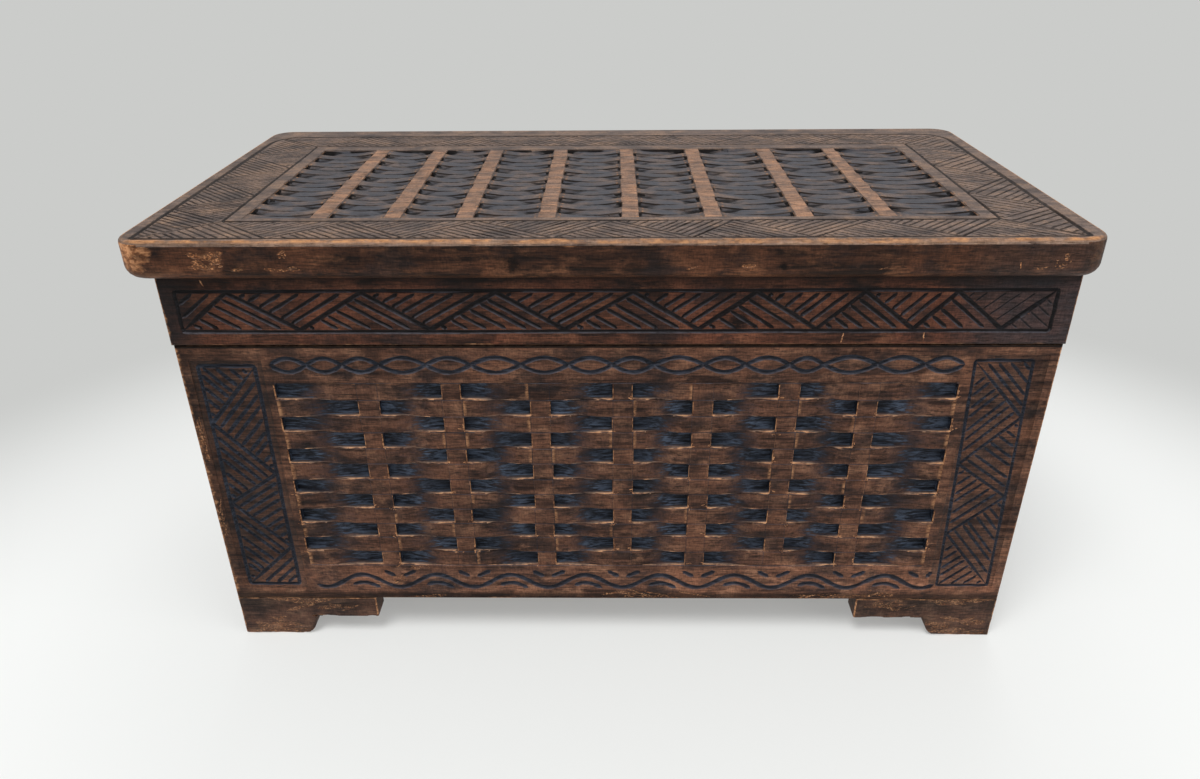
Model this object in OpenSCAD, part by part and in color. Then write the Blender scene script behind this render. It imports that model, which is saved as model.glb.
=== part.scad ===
// Carved wooden trunk with a hinged lid on four stepped bracket feet.
// Millimetres, +Z up, origin on the floor under the middle of the lid top, front towards -Y.

/* [Body] */
// Width of the body across the front
body_w = 430; // [380:1:480]
// Depth of the body from front to back
body_d = 212; // [180:1:250]
// Height of the body walls
body_h = 158.5; // [150:0.5:190]
// Thickness of the four body walls
wall_t = 13; // [11:0.5:16]
// Thickness of the front and back walls left outside the corner rebates
rebate_lip = 6.5; // [5:0.25:8]
// Thickness of the bottom board
bottom_t = 9; // [7:0.5:12]
// Height of the bottom board's underside above the lower edge of the walls
bottom_rise = 3; // [2:0.5:6]
// Depth of the groove that holds the bottom board
bottom_groove = 5; // [3:0.5:6]
// Gap left round the bottom board for the wood to move
bottom_play = 0.3; // [0.1:0.1:1]

/* [Lid] */
// How far the lid rails stand proud of the body walls
lid_reveal = 0.75; // [0:0.25:2]
// How far the lid top stands out past its rails
lid_overhang = 9.25; // [4:0.25:14]
// Height of the lid rails
rail_h = 36.5; // [30:0.5:50]
// Thickness of the lid rails
rail_t = 13; // [11:0.5:16]
// Thickness of the lid top
slab_t = 19; // [16:0.5:24]
// Radius of the lid top's corners in plan
slab_corner_r = 13; // [9:0.5:20]
// Radius of the softened upper edges of the lid top
slab_arris = 2; // [0.5:0.1:3]
// Radius of the rounding under the edges of the lid top
slab_under_r = 6; // [1:0.5:8]
// Distance of the lid top's middle to the right of the body's middle
slab_shift = -3; // [-3:0.5:3]
// Gap between the closed lid and the body
lid_clear = 0.3; // [0.2:0.1:0.8]

/* [Feet] */
// Height of the feet
foot_h = 26.5; // [20:0.5:36]
// Height of the upper strip of a foot
foot_strip_h = 13.3; // [12:0.1:16]
// Length of a foot bracket along the front and back
foot_len = 79; // [60:1:110]
// Length of the part of a front or back bracket that reaches the floor
foot_pad_len = 42; // [34:1:60]
// Length of a foot bracket along an end, measured from the front or back bracket
side_foot_len = 48; // [38:1:70]
// Length of the part of an end bracket that reaches the floor
side_pad_len = 24; // [16:1:34]
// Radius of the small cove where a bracket steps up
foot_cove_r = 3; // [1:0.5:5]
// Side of the square block glued inside a foot
block_w = 28; // [20:1:34]
// Height of the block's lower end above the floor
block_lift = 1.5; // [0.5:0.5:6]

/* [Pegs and dowels] */
// Diameter of the pegs in the body corners
corner_peg_d = 4; // [3:0.25:5]
// Length of the pegs in the body corners
corner_peg_len = 28; // [22:1:36]
// Distance of the outer body pegs from the edges of the walls
corner_peg_edge = 24; // [18:1:40]
// Diameter of the pegs in the lid corners
rail_peg_d = 3.5; // [2.5:0.25:4.5]
// Length of the pegs in the lid corners
rail_peg_len = 24; // [18:1:32]
// Distance of the lid pegs from the edges of the rails
rail_peg_edge = 10; // [8:0.5:12]
// Diameter of the dowels between the lid rails and the lid top
lid_dowel_d = 6; // [4:0.5:7]
// Depth of the lid dowels in each board
lid_dowel_depth = 11; // [8:0.5:12]
// Distance between neighbouring lid dowels along the front and back
lid_dowel_pitch = 110; // [80:1:120]
// Distance of the lid dowels in the end rails from the middle
lid_dowel_end = 45; // [20:1:60]
// Diameter of the dowels in the tops of the feet
foot_dowel_d = 4; // [3:0.25:4.5]
// Depth of the foot dowels in each board
foot_dowel_depth = 9; // [6:0.5:10]
// Distance of the foot dowels from the outer face of the wall
foot_dowel_in = 4.25; // [3.5:0.25:5]
// Distance of the foot dowels from the ends of a bracket
foot_dowel_end = 14; // [8:1:16]
// Gap around a peg, dowel or screw in its hole
wood_fit = 0.05; // [0.02:0.01:0.1]

/* [Hinges] */
// Distance of each hinge's middle from the end of the body
hinge_from_end = 75; // [50:1:110]
// Length of a hinge along the seam
hinge_len = 38; // [30:1:50]
// Width of a hinge leaf from its pin to its front edge
leaf_w = 9; // [7.5:0.25:9.5]
// Thickness of a hinge leaf
leaf_t = 1.2; // [0.8:0.1:1.6]
// Radius of the hinge knuckle
knuckle_r = 2.5; // [2.2:0.1:3]
// Radius of the hinge pin
pin_r = 1.2; // [0.8:0.1:1.4]
// Running clearance around the hinge pin in the lid knuckle
pin_fit = 0.05; // [0.02:0.01:0.1]
// Gap between neighbouring knuckles and round the moving knuckle
knuckle_gap = 0.25; // [0.15:0.05:0.5]
// Distance of the hinge pin in front of the back wall's outer face
hinge_inset = 3.5; // [3:0.25:5]
// Gap between a hinge leaf and the wood at its edges
leaf_gap = 0.1; // [0.05:0.05:0.3]
// Angle of the bevels along the back seam that stop the lid
stop_bevel = 53; // [47:1:58]
// Diameter of the hinge screws
hinge_screw_d = 2.4; // [1.8:0.1:2.8]
// Length of the hinge screws
hinge_screw_len = 12; // [9:0.5:16]
// Diameter of the hinge screws' heads
hinge_head_d = 4.4; // [3.6:0.1:4.8]
// Distance of the outer hinge screws from the middle of a hinge
hinge_screw_pitch = 13; // [9:0.5:14]

/* [Foot screws] */
// Diameter of the foot screws
foot_screw_d = 4; // [3:0.25:5]
// Length of the foot screws
foot_screw_len = 26; // [20:1:28]
// Diameter of the foot screws' heads
foot_head_d = 7.6; // [6:0.2:9]
// Depth at which the foot screws' heads are sunk in the block
foot_screw_sink = 6; // [2:0.5:7]

/* [Weave carving] */
// Distance between neighbouring posts of the weave on the body
post_pitch = 41.4; // [36:0.2:46]
// Width of a post of the weave on the body
post_w = 10; // [7:0.25:13]
// Half width of the weave on the front and back
front_field = 170; // [160:1:185]
// Number of posts on the front and back
front_posts = 7; // [5:2:7]
// Half width of the weave on the ends
end_field = 73; // [68:1:80]
// Number of posts on the ends
end_posts = 3; // [1:2:3]
// Height of the lower edge of the weave above the lower edge of the walls
weave_low = 24; // [20:1:30]
// Number of strips of the weave on the body
weave_rows = 12; // [8:1:13]
// Distance between neighbouring strips of the weave
row_pitch = 9.35; // [8:0.05:9.5]
// Depth of the carved pockets on the body
pocket_deep = 3.8; // [2:0.1:5]
// Depth of the carved pockets on the lid
lid_pocket_deep = 3; // [2:0.1:4]
// Height of the ledge left between neighbouring pockets
pocket_ledge = 0.5; // [0.2:0.1:1.5]

/* [Lid carving] */
// Distance between neighbouring posts of the weave on the lid
lid_post_pitch = 38.9; // [34:0.1:42]
// Width of a post of the weave on the lid
lid_post_w = 8.6; // [6:0.2:11]
// Number of posts on the lid
lid_posts = 8; // [6:1:8]
// Distance of the middle of the lid's posts from the middle of the lid
lid_post_shift = -4; // [-6:0.5:6]
// Half width of the weave on the lid
lid_field = 176.5; // [165:0.5:180]
// Depth from front to back of the weave on the lid
lid_field_d = 140; // [120:1:150]
// Distance of the weave's middle in front of the lid's middle
lid_field_shift = 10.5; // [0:0.5:14]
// Number of strips across the lid
lid_rows = 16; // [12:1:18]
// Distance from the weave to the hatched border at the ends of the lid
lid_frame_end = 8; // [5:0.5:12]
// Distance from the weave to the hatched border at the front of the lid
lid_frame_front = 5; // [3:0.5:8]
// Distance from the weave to the hatched border at the back of the lid
lid_frame_back = 10.5; // [5:0.5:14]
// Width of the hatched border at the ends of the lid
lid_border_end = 31.5; // [24:0.5:33]
// Width of the hatched border at the front and back of the lid
lid_border_long = 25.5; // [18:0.5:27]
// Number of zigzag turns along the front and back of the lid's border
lid_long_turns = 14; // [10:2:18]
// Number of zigzag turns along the ends of the lid's border
lid_end_turns = 8; // [4:2:10]

/* [Border carving] */
// Width of an incised border line
line_w = 2; // [1:0.25:3]
// Depth of an incised border line
line_deep = 1.2; // [0.5:0.1:2]
// Distance of the side borders from the ends of the front and back
side_band_in = 9; // [6:0.5:14]
// Width of the side borders
side_band_w = 29; // [24:0.5:32]
// Width of the side borders on the ends of the trunk
end_band_w = 17; // [12:0.5:20]
// Distance of the borders from the upper and lower edges of the walls
band_edge = 10.5; // [7:0.5:14]
// Number of zigzag turns in a side border
band_turns = 5; // [3:2:7]
// Distance of the lid rail's border from the rail's lower edge
rail_band_low = 7.5; // [5:0.5:10]
// Height of the lid rail's border
rail_band_h = 20.5; // [16:0.5:22]
// Number of zigzag turns along the front lid rail
rail_turns = 15; // [9:2:19]
// Number of zigzag turns along an end lid rail
end_rail_turns = 7; // [5:2:9]

/* [Hidden] */
$fn = 48;
// how far a cut reaches past the face that it opens on
cut = 0.5;
half_w = body_w / 2;
half_d = body_d / 2;
seam_z = foot_h + body_h;
rail_z = seam_z + lid_clear;
slab_z = rail_z + rail_h;
top_z = slab_z + slab_t;
rail_half_w = half_w + lid_reveal;
rail_half_d = half_d + lid_reveal;
slab_half_w = rail_half_w + lid_overhang;
slab_half_d = rail_half_d + lid_overhang;
// the rounding never reaches in over the rails
under_r = min(slab_under_r, lid_overhang - abs(slab_shift));
bottom_z = foot_h + bottom_rise;
// the hinge pin lies in the seam, inside the back face
pin_y = half_d - hinge_inset;
pin_z = seam_z + lid_clear / 2;
hinge_x = half_w - hinge_from_end;

// A box from its lowest to its highest corner
module span_box(low, high) {
    translate(low) cube(high - low);
}

// Carving is laid out on a face seen from outside: x to the right, z up, +y into the wood.

// One dip of a strip under a post: a straight wall at the post and a floor that rises away from it
module pocket(from_x, to_x, low_z, tall, deep) {
    run = to_x - from_x;
    translate([0, 0, low_z]) linear_extrude(tall)
        polygon([
            [from_x, -cut], [from_x, deep], [from_x + 0.22 * run, deep * 0.86],
            [from_x + 0.8 * run, 0], [from_x + 0.8 * run, -cut]
        ]);
}

// Plain weave of strips that pass over one post and dip under the next
module weave(low_x, high_x, posts, width, low_z, rows, pitch, deep) {
    columns = len(posts) + 1;
    for (row = [0 : rows - 1], column = [0 : columns - 1]) {
        left = column == 0 ? low_x : posts[column - 1] + width / 2;
        right = column == columns - 1 ? high_x : posts[column] - width / 2;
        under_left = (rows - 1 - row + column) % 2 == 0;
        start_x = under_left ? left : right;
        end_x = under_left ? right : left;
        pocket(start_x, end_x, low_z + row * pitch + pocket_ledge / 2, pitch - pocket_ledge, deep);
    }
}

function post_row(count, pitch, middle) = [for (i = [0 : count - 1]) middle + (i - (count - 1) / 2) * pitch];

// One straight incised line between two points of a face
module incised(a, b) {
    run = b - a;
    translate([a[0], 0, a[1]]) rotate([0, -atan2(run[1], run[0]), 0])
        translate([-line_w / 2, -cut, -line_w / 2]) cube([norm(run) + line_w, line_deep + cut, line_w]);
}

module incised_frame(low_x, high_x, low_z, high_z) {
    incised([low_x, low_z], [high_x, low_z]);
    incised([low_x, high_z], [high_x, high_z]);
    incised([low_x, low_z], [low_x, high_z]);
    incised([high_x, low_z], [high_x, high_z]);
}

// Corners of a zigzag that swings between near and far on its way from start to end
function zigzag_corners(start, end, near, far, turns) =
    [for (i = [0 : turns]) [start + (end - start) * i / turns, i % 2 == 0 ? near : far]];

module level_zigzag(corners) {
    for (i = [0 : len(corners) - 2]) incised(corners[i], corners[i + 1]);
}

module upright_zigzag(corners) {
    for (i = [0 : len(corners) - 2]) incised([corners[i][1], corners[i][0]], [corners[i + 1][1], corners[i + 1][0]]);
}

// The whole carving of one body face, from the lower edge of the wall
module wall_carving(half, field, posts, band_w) {
    weave(-field, field, post_row(posts, post_pitch, 0), post_w, weave_low, weave_rows, row_pitch, pocket_deep);
    for (side = [0, 1]) mirror([side, 0, 0]) {
        outer = -half + side_band_in;
        inner = outer + band_w;
        incised_frame(outer, inner, band_edge, body_h - band_edge);
        upright_zigzag(zigzag_corners(body_h - band_edge, band_edge, inner, outer, band_turns));
    }
}

module rail_carving(half, turns) {
    reach = half - side_band_in;
    high = rail_band_low + rail_band_h;
    incised_frame(-reach, reach, rail_band_low, high);
    level_zigzag(zigzag_corners(-reach, reach, rail_band_low, high, turns));
}

module lid_carving() {
    low = -lid_field_shift - lid_field_d / 2;
    high = -lid_field_shift + lid_field_d / 2;
    inner_w = lid_field + lid_frame_end;
    outer_w = inner_w + lid_border_end;
    inner_low = low - lid_frame_front;
    inner_high = high + lid_frame_back;
    outer_low = inner_low - lid_border_long;
    outer_high = inner_high + lid_border_long;
    weave(-lid_field, lid_field, post_row(lid_posts, lid_post_pitch, lid_post_shift), lid_post_w,
        low, lid_rows, lid_field_d / lid_rows, lid_pocket_deep);
    incised_frame(-inner_w, inner_w, inner_low, inner_high);
    incised_frame(-outer_w, outer_w, outer_low, outer_high);
    level_zigzag(zigzag_corners(-outer_w, outer_w, outer_low, inner_low, lid_long_turns));
    level_zigzag(zigzag_corners(-outer_w, outer_w, outer_high, inner_high, lid_long_turns));
    for (side = [-1, 1])
        upright_zigzag(zigzag_corners(outer_low, outer_high, side * outer_w, side * inner_w, lid_end_turns));
}

// Peg, dowel and screw shapes, with their holes a little wider

module peg_along_x(at, length, diameter, extra) {
    translate(at) rotate([0, 90, 0]) cylinder(h = length, r = diameter / 2 + extra);
}

module upright_dowel(at, depth, diameter, extra) {
    translate(at) translate([0, 0, -depth]) cylinder(h = 2 * depth, r = diameter / 2 + extra);
}

// A countersunk screw whose head is at the origin and whose point is at +z
module wood_screw(length, diameter, head, extra) {
    sink = (head - diameter) / 2;
    cylinder(h = length + extra, r = diameter / 2 + extra);
    cylinder(h = sink, r1 = head / 2 + extra, r2 = diameter / 2 + extra);
}

module body_pegs(extra) {
    y = half_d - rebate_lip - (wall_t - rebate_lip) / 2;
    for (sx = [-1, 1], sy = [-1, 1], z = [corner_peg_edge, body_h / 2, body_h - corner_peg_edge])
        peg_along_x([sx > 0 ? half_w - corner_peg_len : -half_w, sy * y, foot_h + z], corner_peg_len, corner_peg_d, extra);
}

module rail_pegs(extra) {
    y = rail_half_d - rebate_lip - (rail_t - rebate_lip) / 2;
    for (sx = [-1, 1], sy = [-1, 1], z = [rail_peg_edge, rail_h - rail_peg_edge])
        peg_along_x([sx > 0 ? rail_half_w - rail_peg_len : -rail_half_w, sy * y, rail_z + z], rail_peg_len, rail_peg_d, extra);
}

module top_dowels(extra) {
    x = rail_half_w - rail_t / 2;
    y = rail_half_d - rail_t / 2;
    for (i = [-1.5 : 1 : 1.5], sy = [-1, 1])
        upright_dowel([i * lid_dowel_pitch, sy * y, slab_z], lid_dowel_depth, lid_dowel_d, extra);
    for (sx = [-1, 1], sy = [-1, 1])
        upright_dowel([sx * x, sy * lid_dowel_end, slab_z], lid_dowel_depth, lid_dowel_d, extra);
}

module bracket_dowels(extra) {
    long_x = half_w - foot_dowel_end;
    long_in = half_w - foot_len + foot_dowel_end;
    end_y = half_d - wall_t - foot_dowel_end;
    end_in = half_d - wall_t - side_foot_len + foot_dowel_end;
    for (sx = [-1, 1], sy = [-1, 1]) {
        for (x = [long_x, long_in])
            upright_dowel([sx * x, sy * (half_d - foot_dowel_in), foot_h], foot_dowel_depth, foot_dowel_d, extra);
        for (y = [end_y, end_in])
            upright_dowel([sx * (half_w - foot_dowel_in), sy * y, foot_h], foot_dowel_depth, foot_dowel_d, extra);
    }
}

module block_screws(extra) {
    for (sx = [-1, 1], sy = [-1, 1])
        translate([sx * (half_w - wall_t - block_w / 2), sy * (half_d - wall_t - block_w / 2), block_lift + foot_screw_sink])
            wood_screw(foot_screw_len, foot_screw_d, foot_head_d, extra);
}

// Screw places on a leaf: down into the body for side -1, up into the lid for side 1
module leaf_screws(side, extra) {
    y = pin_y - knuckle_r - (leaf_w - knuckle_r) / 2;
    z = side < 0 ? seam_z : rail_z;
    for (sx = [-1, 1], i = [-1, 0, 1])
        translate([sx * hinge_x + i * hinge_screw_pitch, y, z]) mirror([0, 0, side < 0 ? 1 : 0])
            wood_screw(hinge_screw_len, hinge_screw_d, hinge_head_d, extra);
}

// Room for both hinges in the wood of the body or of the lid
module hinge_seats(side) {
    z = side < 0 ? seam_z : rail_z;
    half = hinge_len / 2 + leaf_gap;
    for (sx = [-1, 1]) translate([sx * hinge_x, 0, 0]) {
        span_box([-half, pin_y - leaf_w - leaf_gap, z - (side < 0 ? leaf_t : cut)],
            [half, half_d + lid_reveal + cut, z + (side < 0 ? cut : leaf_t)]);
        translate([-half, pin_y, pin_z]) rotate([0, 90, 0]) cylinder(h = 2 * half, r = knuckle_r + knuckle_gap);
    }
}

// The bevel behind the pin on the body for side -1, on the lid for side 1
module back_bevel(side) {
    reach = hinge_inset + lid_reveal + cut;
    rise = reach * tan(stop_bevel);
    long = body_w + 2 * lid_reveal + 2 * cut;
    translate([-long / 2, pin_y, pin_z]) rotate([90, 0, 90]) linear_extrude(long)
        polygon([[0, 0], [reach, side * rise], [reach, -side * lid_clear], [0, -side * lid_clear]]);
}

// Body walls

module long_wall() {
    difference() {
        span_box([-half_w, -half_d, foot_h], [half_w, -half_d + wall_t, seam_z]);
        for (side = [0, 1]) mirror([side, 0, 0])
            span_box([half_w - wall_t, -half_d + rebate_lip, foot_h - cut], [half_w + cut, -half_d + wall_t + cut, seam_z + cut]);
        span_box([-half_w + wall_t - cut, -half_d + wall_t - bottom_groove, bottom_z],
            [half_w - wall_t + cut, -half_d + wall_t + cut, bottom_z + bottom_t]);
        translate([0, -half_d, foot_h]) wall_carving(half_w, front_field, front_posts, side_band_w);
    }
}

module front_board() {
    color("#5a3d2c") difference() {
        long_wall();
        body_pegs(wood_fit);
        bracket_dowels(wood_fit);
    }
}

module back_board() {
    color("#553a2a") difference() {
        rotate([0, 0, 180]) long_wall();
        body_pegs(wood_fit);
        bracket_dowels(wood_fit);
        hinge_seats(-1);
        leaf_screws(-1, wood_fit);
        back_bevel(-1);
    }
}

module end_wall(turn) {
    reach = half_d - rebate_lip;
    groove = half_d - wall_t + bottom_groove;
    difference() {
        rotate([0, 0, turn]) difference() {
            span_box([-reach, -half_w, foot_h], [reach, -half_w + wall_t, seam_z]);
            span_box([-groove, -half_w + wall_t - bottom_groove, bottom_z], [groove, -half_w + wall_t + cut, bottom_z + bottom_t]);
            translate([0, -half_w, foot_h]) wall_carving(half_d, end_field, end_posts, end_band_w);
        }
        body_pegs(wood_fit);
        bracket_dowels(wood_fit);
    }
}

module left_end_board() {
    color("#583b2a") end_wall(-90);
}

module right_end_board() {
    color("#583b2a") end_wall(90);
}

module bottom_board() {
    reach = bottom_groove - bottom_play - wall_t;
    color("#6b4a34") difference() {
        span_box([-half_w - reach, -half_d - reach, bottom_z], [half_w + reach, half_d + reach, bottom_z + bottom_t]);
        block_screws(wood_fit);
    }
}

module corner_pegs() {
    color("#7d5a3f") body_pegs(0);
}

// Feet

// Side view of a stepped bracket from its tall end at x = 0
module bracket_profile(length, pad) {
    difference() {
        union() {
            translate([0, foot_h - foot_strip_h]) square([length, foot_strip_h]);
            square([pad + foot_cove_r, foot_h - foot_strip_h / 2]);
        }
        translate([pad, -cut]) square([foot_cove_r + cut, foot_h - foot_strip_h - foot_cove_r + cut]);
        translate([pad + foot_cove_r, foot_h - foot_strip_h - foot_cove_r]) circle(r = foot_cove_r);
    }
}

module long_bracket(sx, sy) {
    difference() {
        mirror([sx > 0 ? 1 : 0, 0, 0]) mirror([0, sy > 0 ? 1 : 0, 0])
            translate([-half_w, -half_d + wall_t, 0]) rotate([90, 0, 0])
                linear_extrude(wall_t) bracket_profile(foot_len, foot_pad_len);
        bracket_dowels(wood_fit);
    }
}

module end_bracket(sx, sy) {
    difference() {
        mirror([sx > 0 ? 1 : 0, 0, 0]) mirror([0, sy > 0 ? 1 : 0, 0])
            translate([-half_w, -half_d + wall_t, 0]) rotate([90, 0, 90])
                linear_extrude(wall_t) bracket_profile(side_foot_len, side_pad_len);
        bracket_dowels(wood_fit);
    }
}

module block(sx, sy) {
    x = half_w - wall_t - block_w / 2;
    y = half_d - wall_t - block_w / 2;
    difference() {
        translate([sx * x - block_w / 2, sy * y - block_w / 2, block_lift]) cube([block_w, block_w, bottom_z - block_lift]);
        block_screws(wood_fit);
        translate([sx * x, sy * y, 0]) cylinder(h = block_lift + foot_screw_sink, r = foot_head_d / 2 + wood_fit);
    }
}

module front_left_bracket() { color("#4c3325") long_bracket(-1, -1); }
module front_right_bracket() { color("#4c3325") long_bracket(1, -1); }
module back_left_bracket() { color("#4c3325") long_bracket(-1, 1); }
module back_right_bracket() { color("#4c3325") long_bracket(1, 1); }
module left_front_bracket() { color("#483023") end_bracket(-1, -1); }
module left_back_bracket() { color("#483023") end_bracket(-1, 1); }
module right_front_bracket() { color("#483023") end_bracket(1, -1); }
module right_back_bracket() { color("#483023") end_bracket(1, 1); }
module front_left_block() { color("#7a573d") block(-1, -1); }
module front_right_block() { color("#7a573d") block(1, -1); }
module back_left_block() { color("#7a573d") block(-1, 1); }
module back_right_block() { color("#7a573d") block(1, 1); }

module foot_dowels() {
    color("#8a6447") bracket_dowels(0);
}

module foot_screws() {
    color("#6f6a63") block_screws(0);
}

// Lid

// How far a quarter round of radius r has risen at the distance in from its outer side
function quarter_rise(in, r) = in >= r ? r : sqrt(r * r - (r - in) * (r - in));

module lid_blank() {
    x = slab_half_w - slab_corner_r;
    y = slab_half_d - slab_corner_r;
    hull() for (sx = [-1, 1], sy = [-1, 1], share = [0, 0.07, 0.25, 0.6, 1]) {
        in = share * under_r;
        low = under_r - quarter_rise(in, under_r);
        high = slab_t - slab_arris + quarter_rise(in, slab_arris);
        translate([sx * x, sy * y, low]) cylinder(h = high - low, r = slab_corner_r - in, $fn = 32);
    }
}

module lid_top() {
    color("#73513b") difference() {
        translate([slab_shift, 0, slab_z]) lid_blank();
        translate([slab_shift, 0, top_z]) rotate([-90, 0, 0]) lid_carving();
        top_dowels(wood_fit);
    }
}

module long_rail() {
    difference() {
        span_box([-rail_half_w, -rail_half_d, rail_z], [rail_half_w, -rail_half_d + rail_t, slab_z]);
        for (side = [0, 1]) mirror([side, 0, 0])
            span_box([rail_half_w - rail_t, -rail_half_d + rebate_lip, rail_z - cut],
                [rail_half_w + cut, -rail_half_d + rail_t + cut, slab_z + cut]);
        translate([0, -rail_half_d, rail_z]) rail_carving(rail_half_w, rail_turns);
    }
}

module end_rail(turn) {
    reach = rail_half_d - rebate_lip;
    difference() {
        rotate([0, 0, turn]) difference() {
            span_box([-reach, -rail_half_w, rail_z], [reach, -rail_half_w + rail_t, slab_z]);
            translate([0, -rail_half_w, rail_z]) rail_carving(rail_half_d, end_rail_turns);
        }
        rail_pegs(wood_fit);
        top_dowels(wood_fit);
    }
}

module lid_front_rail() {
    color("#5d3626") difference() {
        long_rail();
        rail_pegs(wood_fit);
        top_dowels(wood_fit);
    }
}

module lid_back_rail() {
    color("#5d3626") difference() {
        rotate([0, 0, 180]) long_rail();
        rail_pegs(wood_fit);
        top_dowels(wood_fit);
        hinge_seats(1);
        leaf_screws(1, wood_fit);
        back_bevel(1);
    }
}

module lid_left_rail() {
    color("#5b3526") end_rail(-90);
}

module lid_right_rail() {
    color("#5b3526") end_rail(90);
}

module lid_pegs() {
    color("#7d5a3f") rail_pegs(0);
}

module lid_dowels() {
    color("#8a6447") top_dowels(0);
}

// Hinges: two knuckles on the body leaf, one on the lid leaf between them

module knuckle(from_x, to_x, radius) {
    translate([from_x, pin_y, pin_z]) rotate([0, 90, 0]) cylinder(h = to_x - from_x, r = radius);
}

module body_leaf(sx) {
    end = hinge_len / 2;
    third = hinge_len / 6;
    translate([sx * hinge_x, 0, 0]) difference() {
        union() {
            span_box([-end, pin_y - leaf_w, seam_z - leaf_t], [end, pin_y, seam_z]);
            knuckle(-end, -third, knuckle_r);
            knuckle(third, end, knuckle_r);
        }
        knuckle(-third - knuckle_gap, third + knuckle_gap, knuckle_r + knuckle_gap);
        knuckle(-end - cut, end + cut, pin_r);
        translate([-sx * hinge_x, 0, 0]) leaf_screws(-1, wood_fit);
    }
}

module lid_leaf(sx) {
    end = hinge_len / 2;
    third = hinge_len / 6;
    translate([sx * hinge_x, 0, 0]) difference() {
        union() {
            span_box([-end, pin_y - leaf_w, rail_z], [end, pin_y, rail_z + leaf_t]);
            knuckle(-third, third, knuckle_r);
        }
        knuckle(-end - cut, -third, knuckle_r + knuckle_gap);
        knuckle(third, end + cut, knuckle_r + knuckle_gap);
        knuckle(-end - cut, end + cut, pin_r + pin_fit);
        translate([-sx * hinge_x, 0, 0]) leaf_screws(1, wood_fit);
    }
}

module hinge_pin(sx) {
    translate([sx * hinge_x, 0, 0]) knuckle(-hinge_len / 2, hinge_len / 2, pin_r);
}

module left_hinge_body_leaf() { color("#8c7440") body_leaf(-1); }
module left_hinge_lid_leaf() { color("#8c7440") lid_leaf(-1); }
module left_hinge_pin() { color("#a08a58") hinge_pin(-1); }
module right_hinge_body_leaf() { color("#8c7440") body_leaf(1); }
module right_hinge_lid_leaf() { color("#8c7440") lid_leaf(1); }
module right_hinge_pin() { color("#a08a58") hinge_pin(1); }

module hinge_body_screws() {
    color("#94804e") leaf_screws(-1, 0);
}

module hinge_lid_screws() {
    color("#94804e") leaf_screws(1, 0);
}

// The body stands off the middle by as much as the lid top is set to one side of it
translate([-slab_shift, 0, 0]) {
    front_board();
    back_board();
    left_end_board();
    right_end_board();
    bottom_board();
    corner_pegs();
    front_left_bracket();
    front_right_bracket();
    back_left_bracket();
    back_right_bracket();
    left_front_bracket();
    left_back_bracket();
    right_front_bracket();
    right_back_bracket();
    front_left_block();
    front_right_block();
    back_left_block();
    back_right_block();
    foot_dowels();
    foot_screws();
    lid_top();
    lid_front_rail();
    lid_back_rail();
    lid_left_rail();
    lid_right_rail();
    lid_pegs();
    lid_dowels();
    left_hinge_body_leaf();
    left_hinge_lid_leaf();
    left_hinge_pin();
    right_hinge_body_leaf();
    right_hinge_lid_leaf();
    right_hinge_pin();
    hinge_body_screws();
    hinge_lid_screws();
}
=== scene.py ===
import math
import random
from functools import partial

import bpy
from mathutils import Matrix, Vector


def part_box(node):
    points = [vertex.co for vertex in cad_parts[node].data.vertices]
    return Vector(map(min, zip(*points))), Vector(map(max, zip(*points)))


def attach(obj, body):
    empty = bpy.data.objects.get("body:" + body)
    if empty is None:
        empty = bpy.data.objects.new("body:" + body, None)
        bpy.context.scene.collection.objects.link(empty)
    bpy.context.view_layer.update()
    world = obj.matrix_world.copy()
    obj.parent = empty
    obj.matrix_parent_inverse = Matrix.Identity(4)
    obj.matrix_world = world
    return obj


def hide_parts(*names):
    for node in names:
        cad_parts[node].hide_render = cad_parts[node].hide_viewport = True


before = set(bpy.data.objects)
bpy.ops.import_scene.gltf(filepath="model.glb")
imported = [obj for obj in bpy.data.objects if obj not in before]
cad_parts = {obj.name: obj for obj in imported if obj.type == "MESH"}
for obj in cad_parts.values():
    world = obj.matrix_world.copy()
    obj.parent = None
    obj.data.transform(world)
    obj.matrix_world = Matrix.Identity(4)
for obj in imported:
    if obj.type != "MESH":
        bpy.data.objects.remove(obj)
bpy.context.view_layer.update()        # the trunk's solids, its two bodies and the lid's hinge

mm = 0.001
past = 0.6 * mm          # how far a cutter reaches past the face that it opens on
fitRoom = 0.05 * mm      # room round pegs, dowels and screws

# Sizes that every piece shares, read from the solids of the frame

frontLow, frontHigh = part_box("front_board")
leftEndLow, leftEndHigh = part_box("left_end_board")
floorLow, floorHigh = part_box("bottom_board")
railLow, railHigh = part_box("lid_front_rail")
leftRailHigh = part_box("lid_left_rail")[1]
slabLow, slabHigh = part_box("lid_top")
footLow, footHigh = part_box("front_left_bracket")
endFootLow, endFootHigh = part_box("left_front_bracket")
pinLow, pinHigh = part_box("left_hinge_pin")

bodyMiddle = (frontLow.x + frontHigh.x) / 2
halfWidth = (frontHigh.x - frontLow.x) / 2
halfDepth = -frontLow.y
wallThick = frontHigh.y - frontLow.y
wallLow = frontLow.z
wallTall = frontHigh.z - frontLow.z
lip = halfDepth + leftEndLow.y           # wood left outside the corner rebates
railTall = railHigh.z - railLow.z
railThick = railHigh.y - railLow.y
footStrip = footHigh.z - 13.3 * mm       # underside of the foot's upper strip
railHalfWidth = (railHigh.x - railLow.x) / 2
slabMiddle = (slabLow.x + slabHigh.x) / 2
railHalfDepth = -railLow.y
seat = (pinLow.z + pinHigh.z) / 2        # height of the hinge pins
pinBack = (pinLow.y + pinHigh.y) / 2     # how far back they lie

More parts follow.
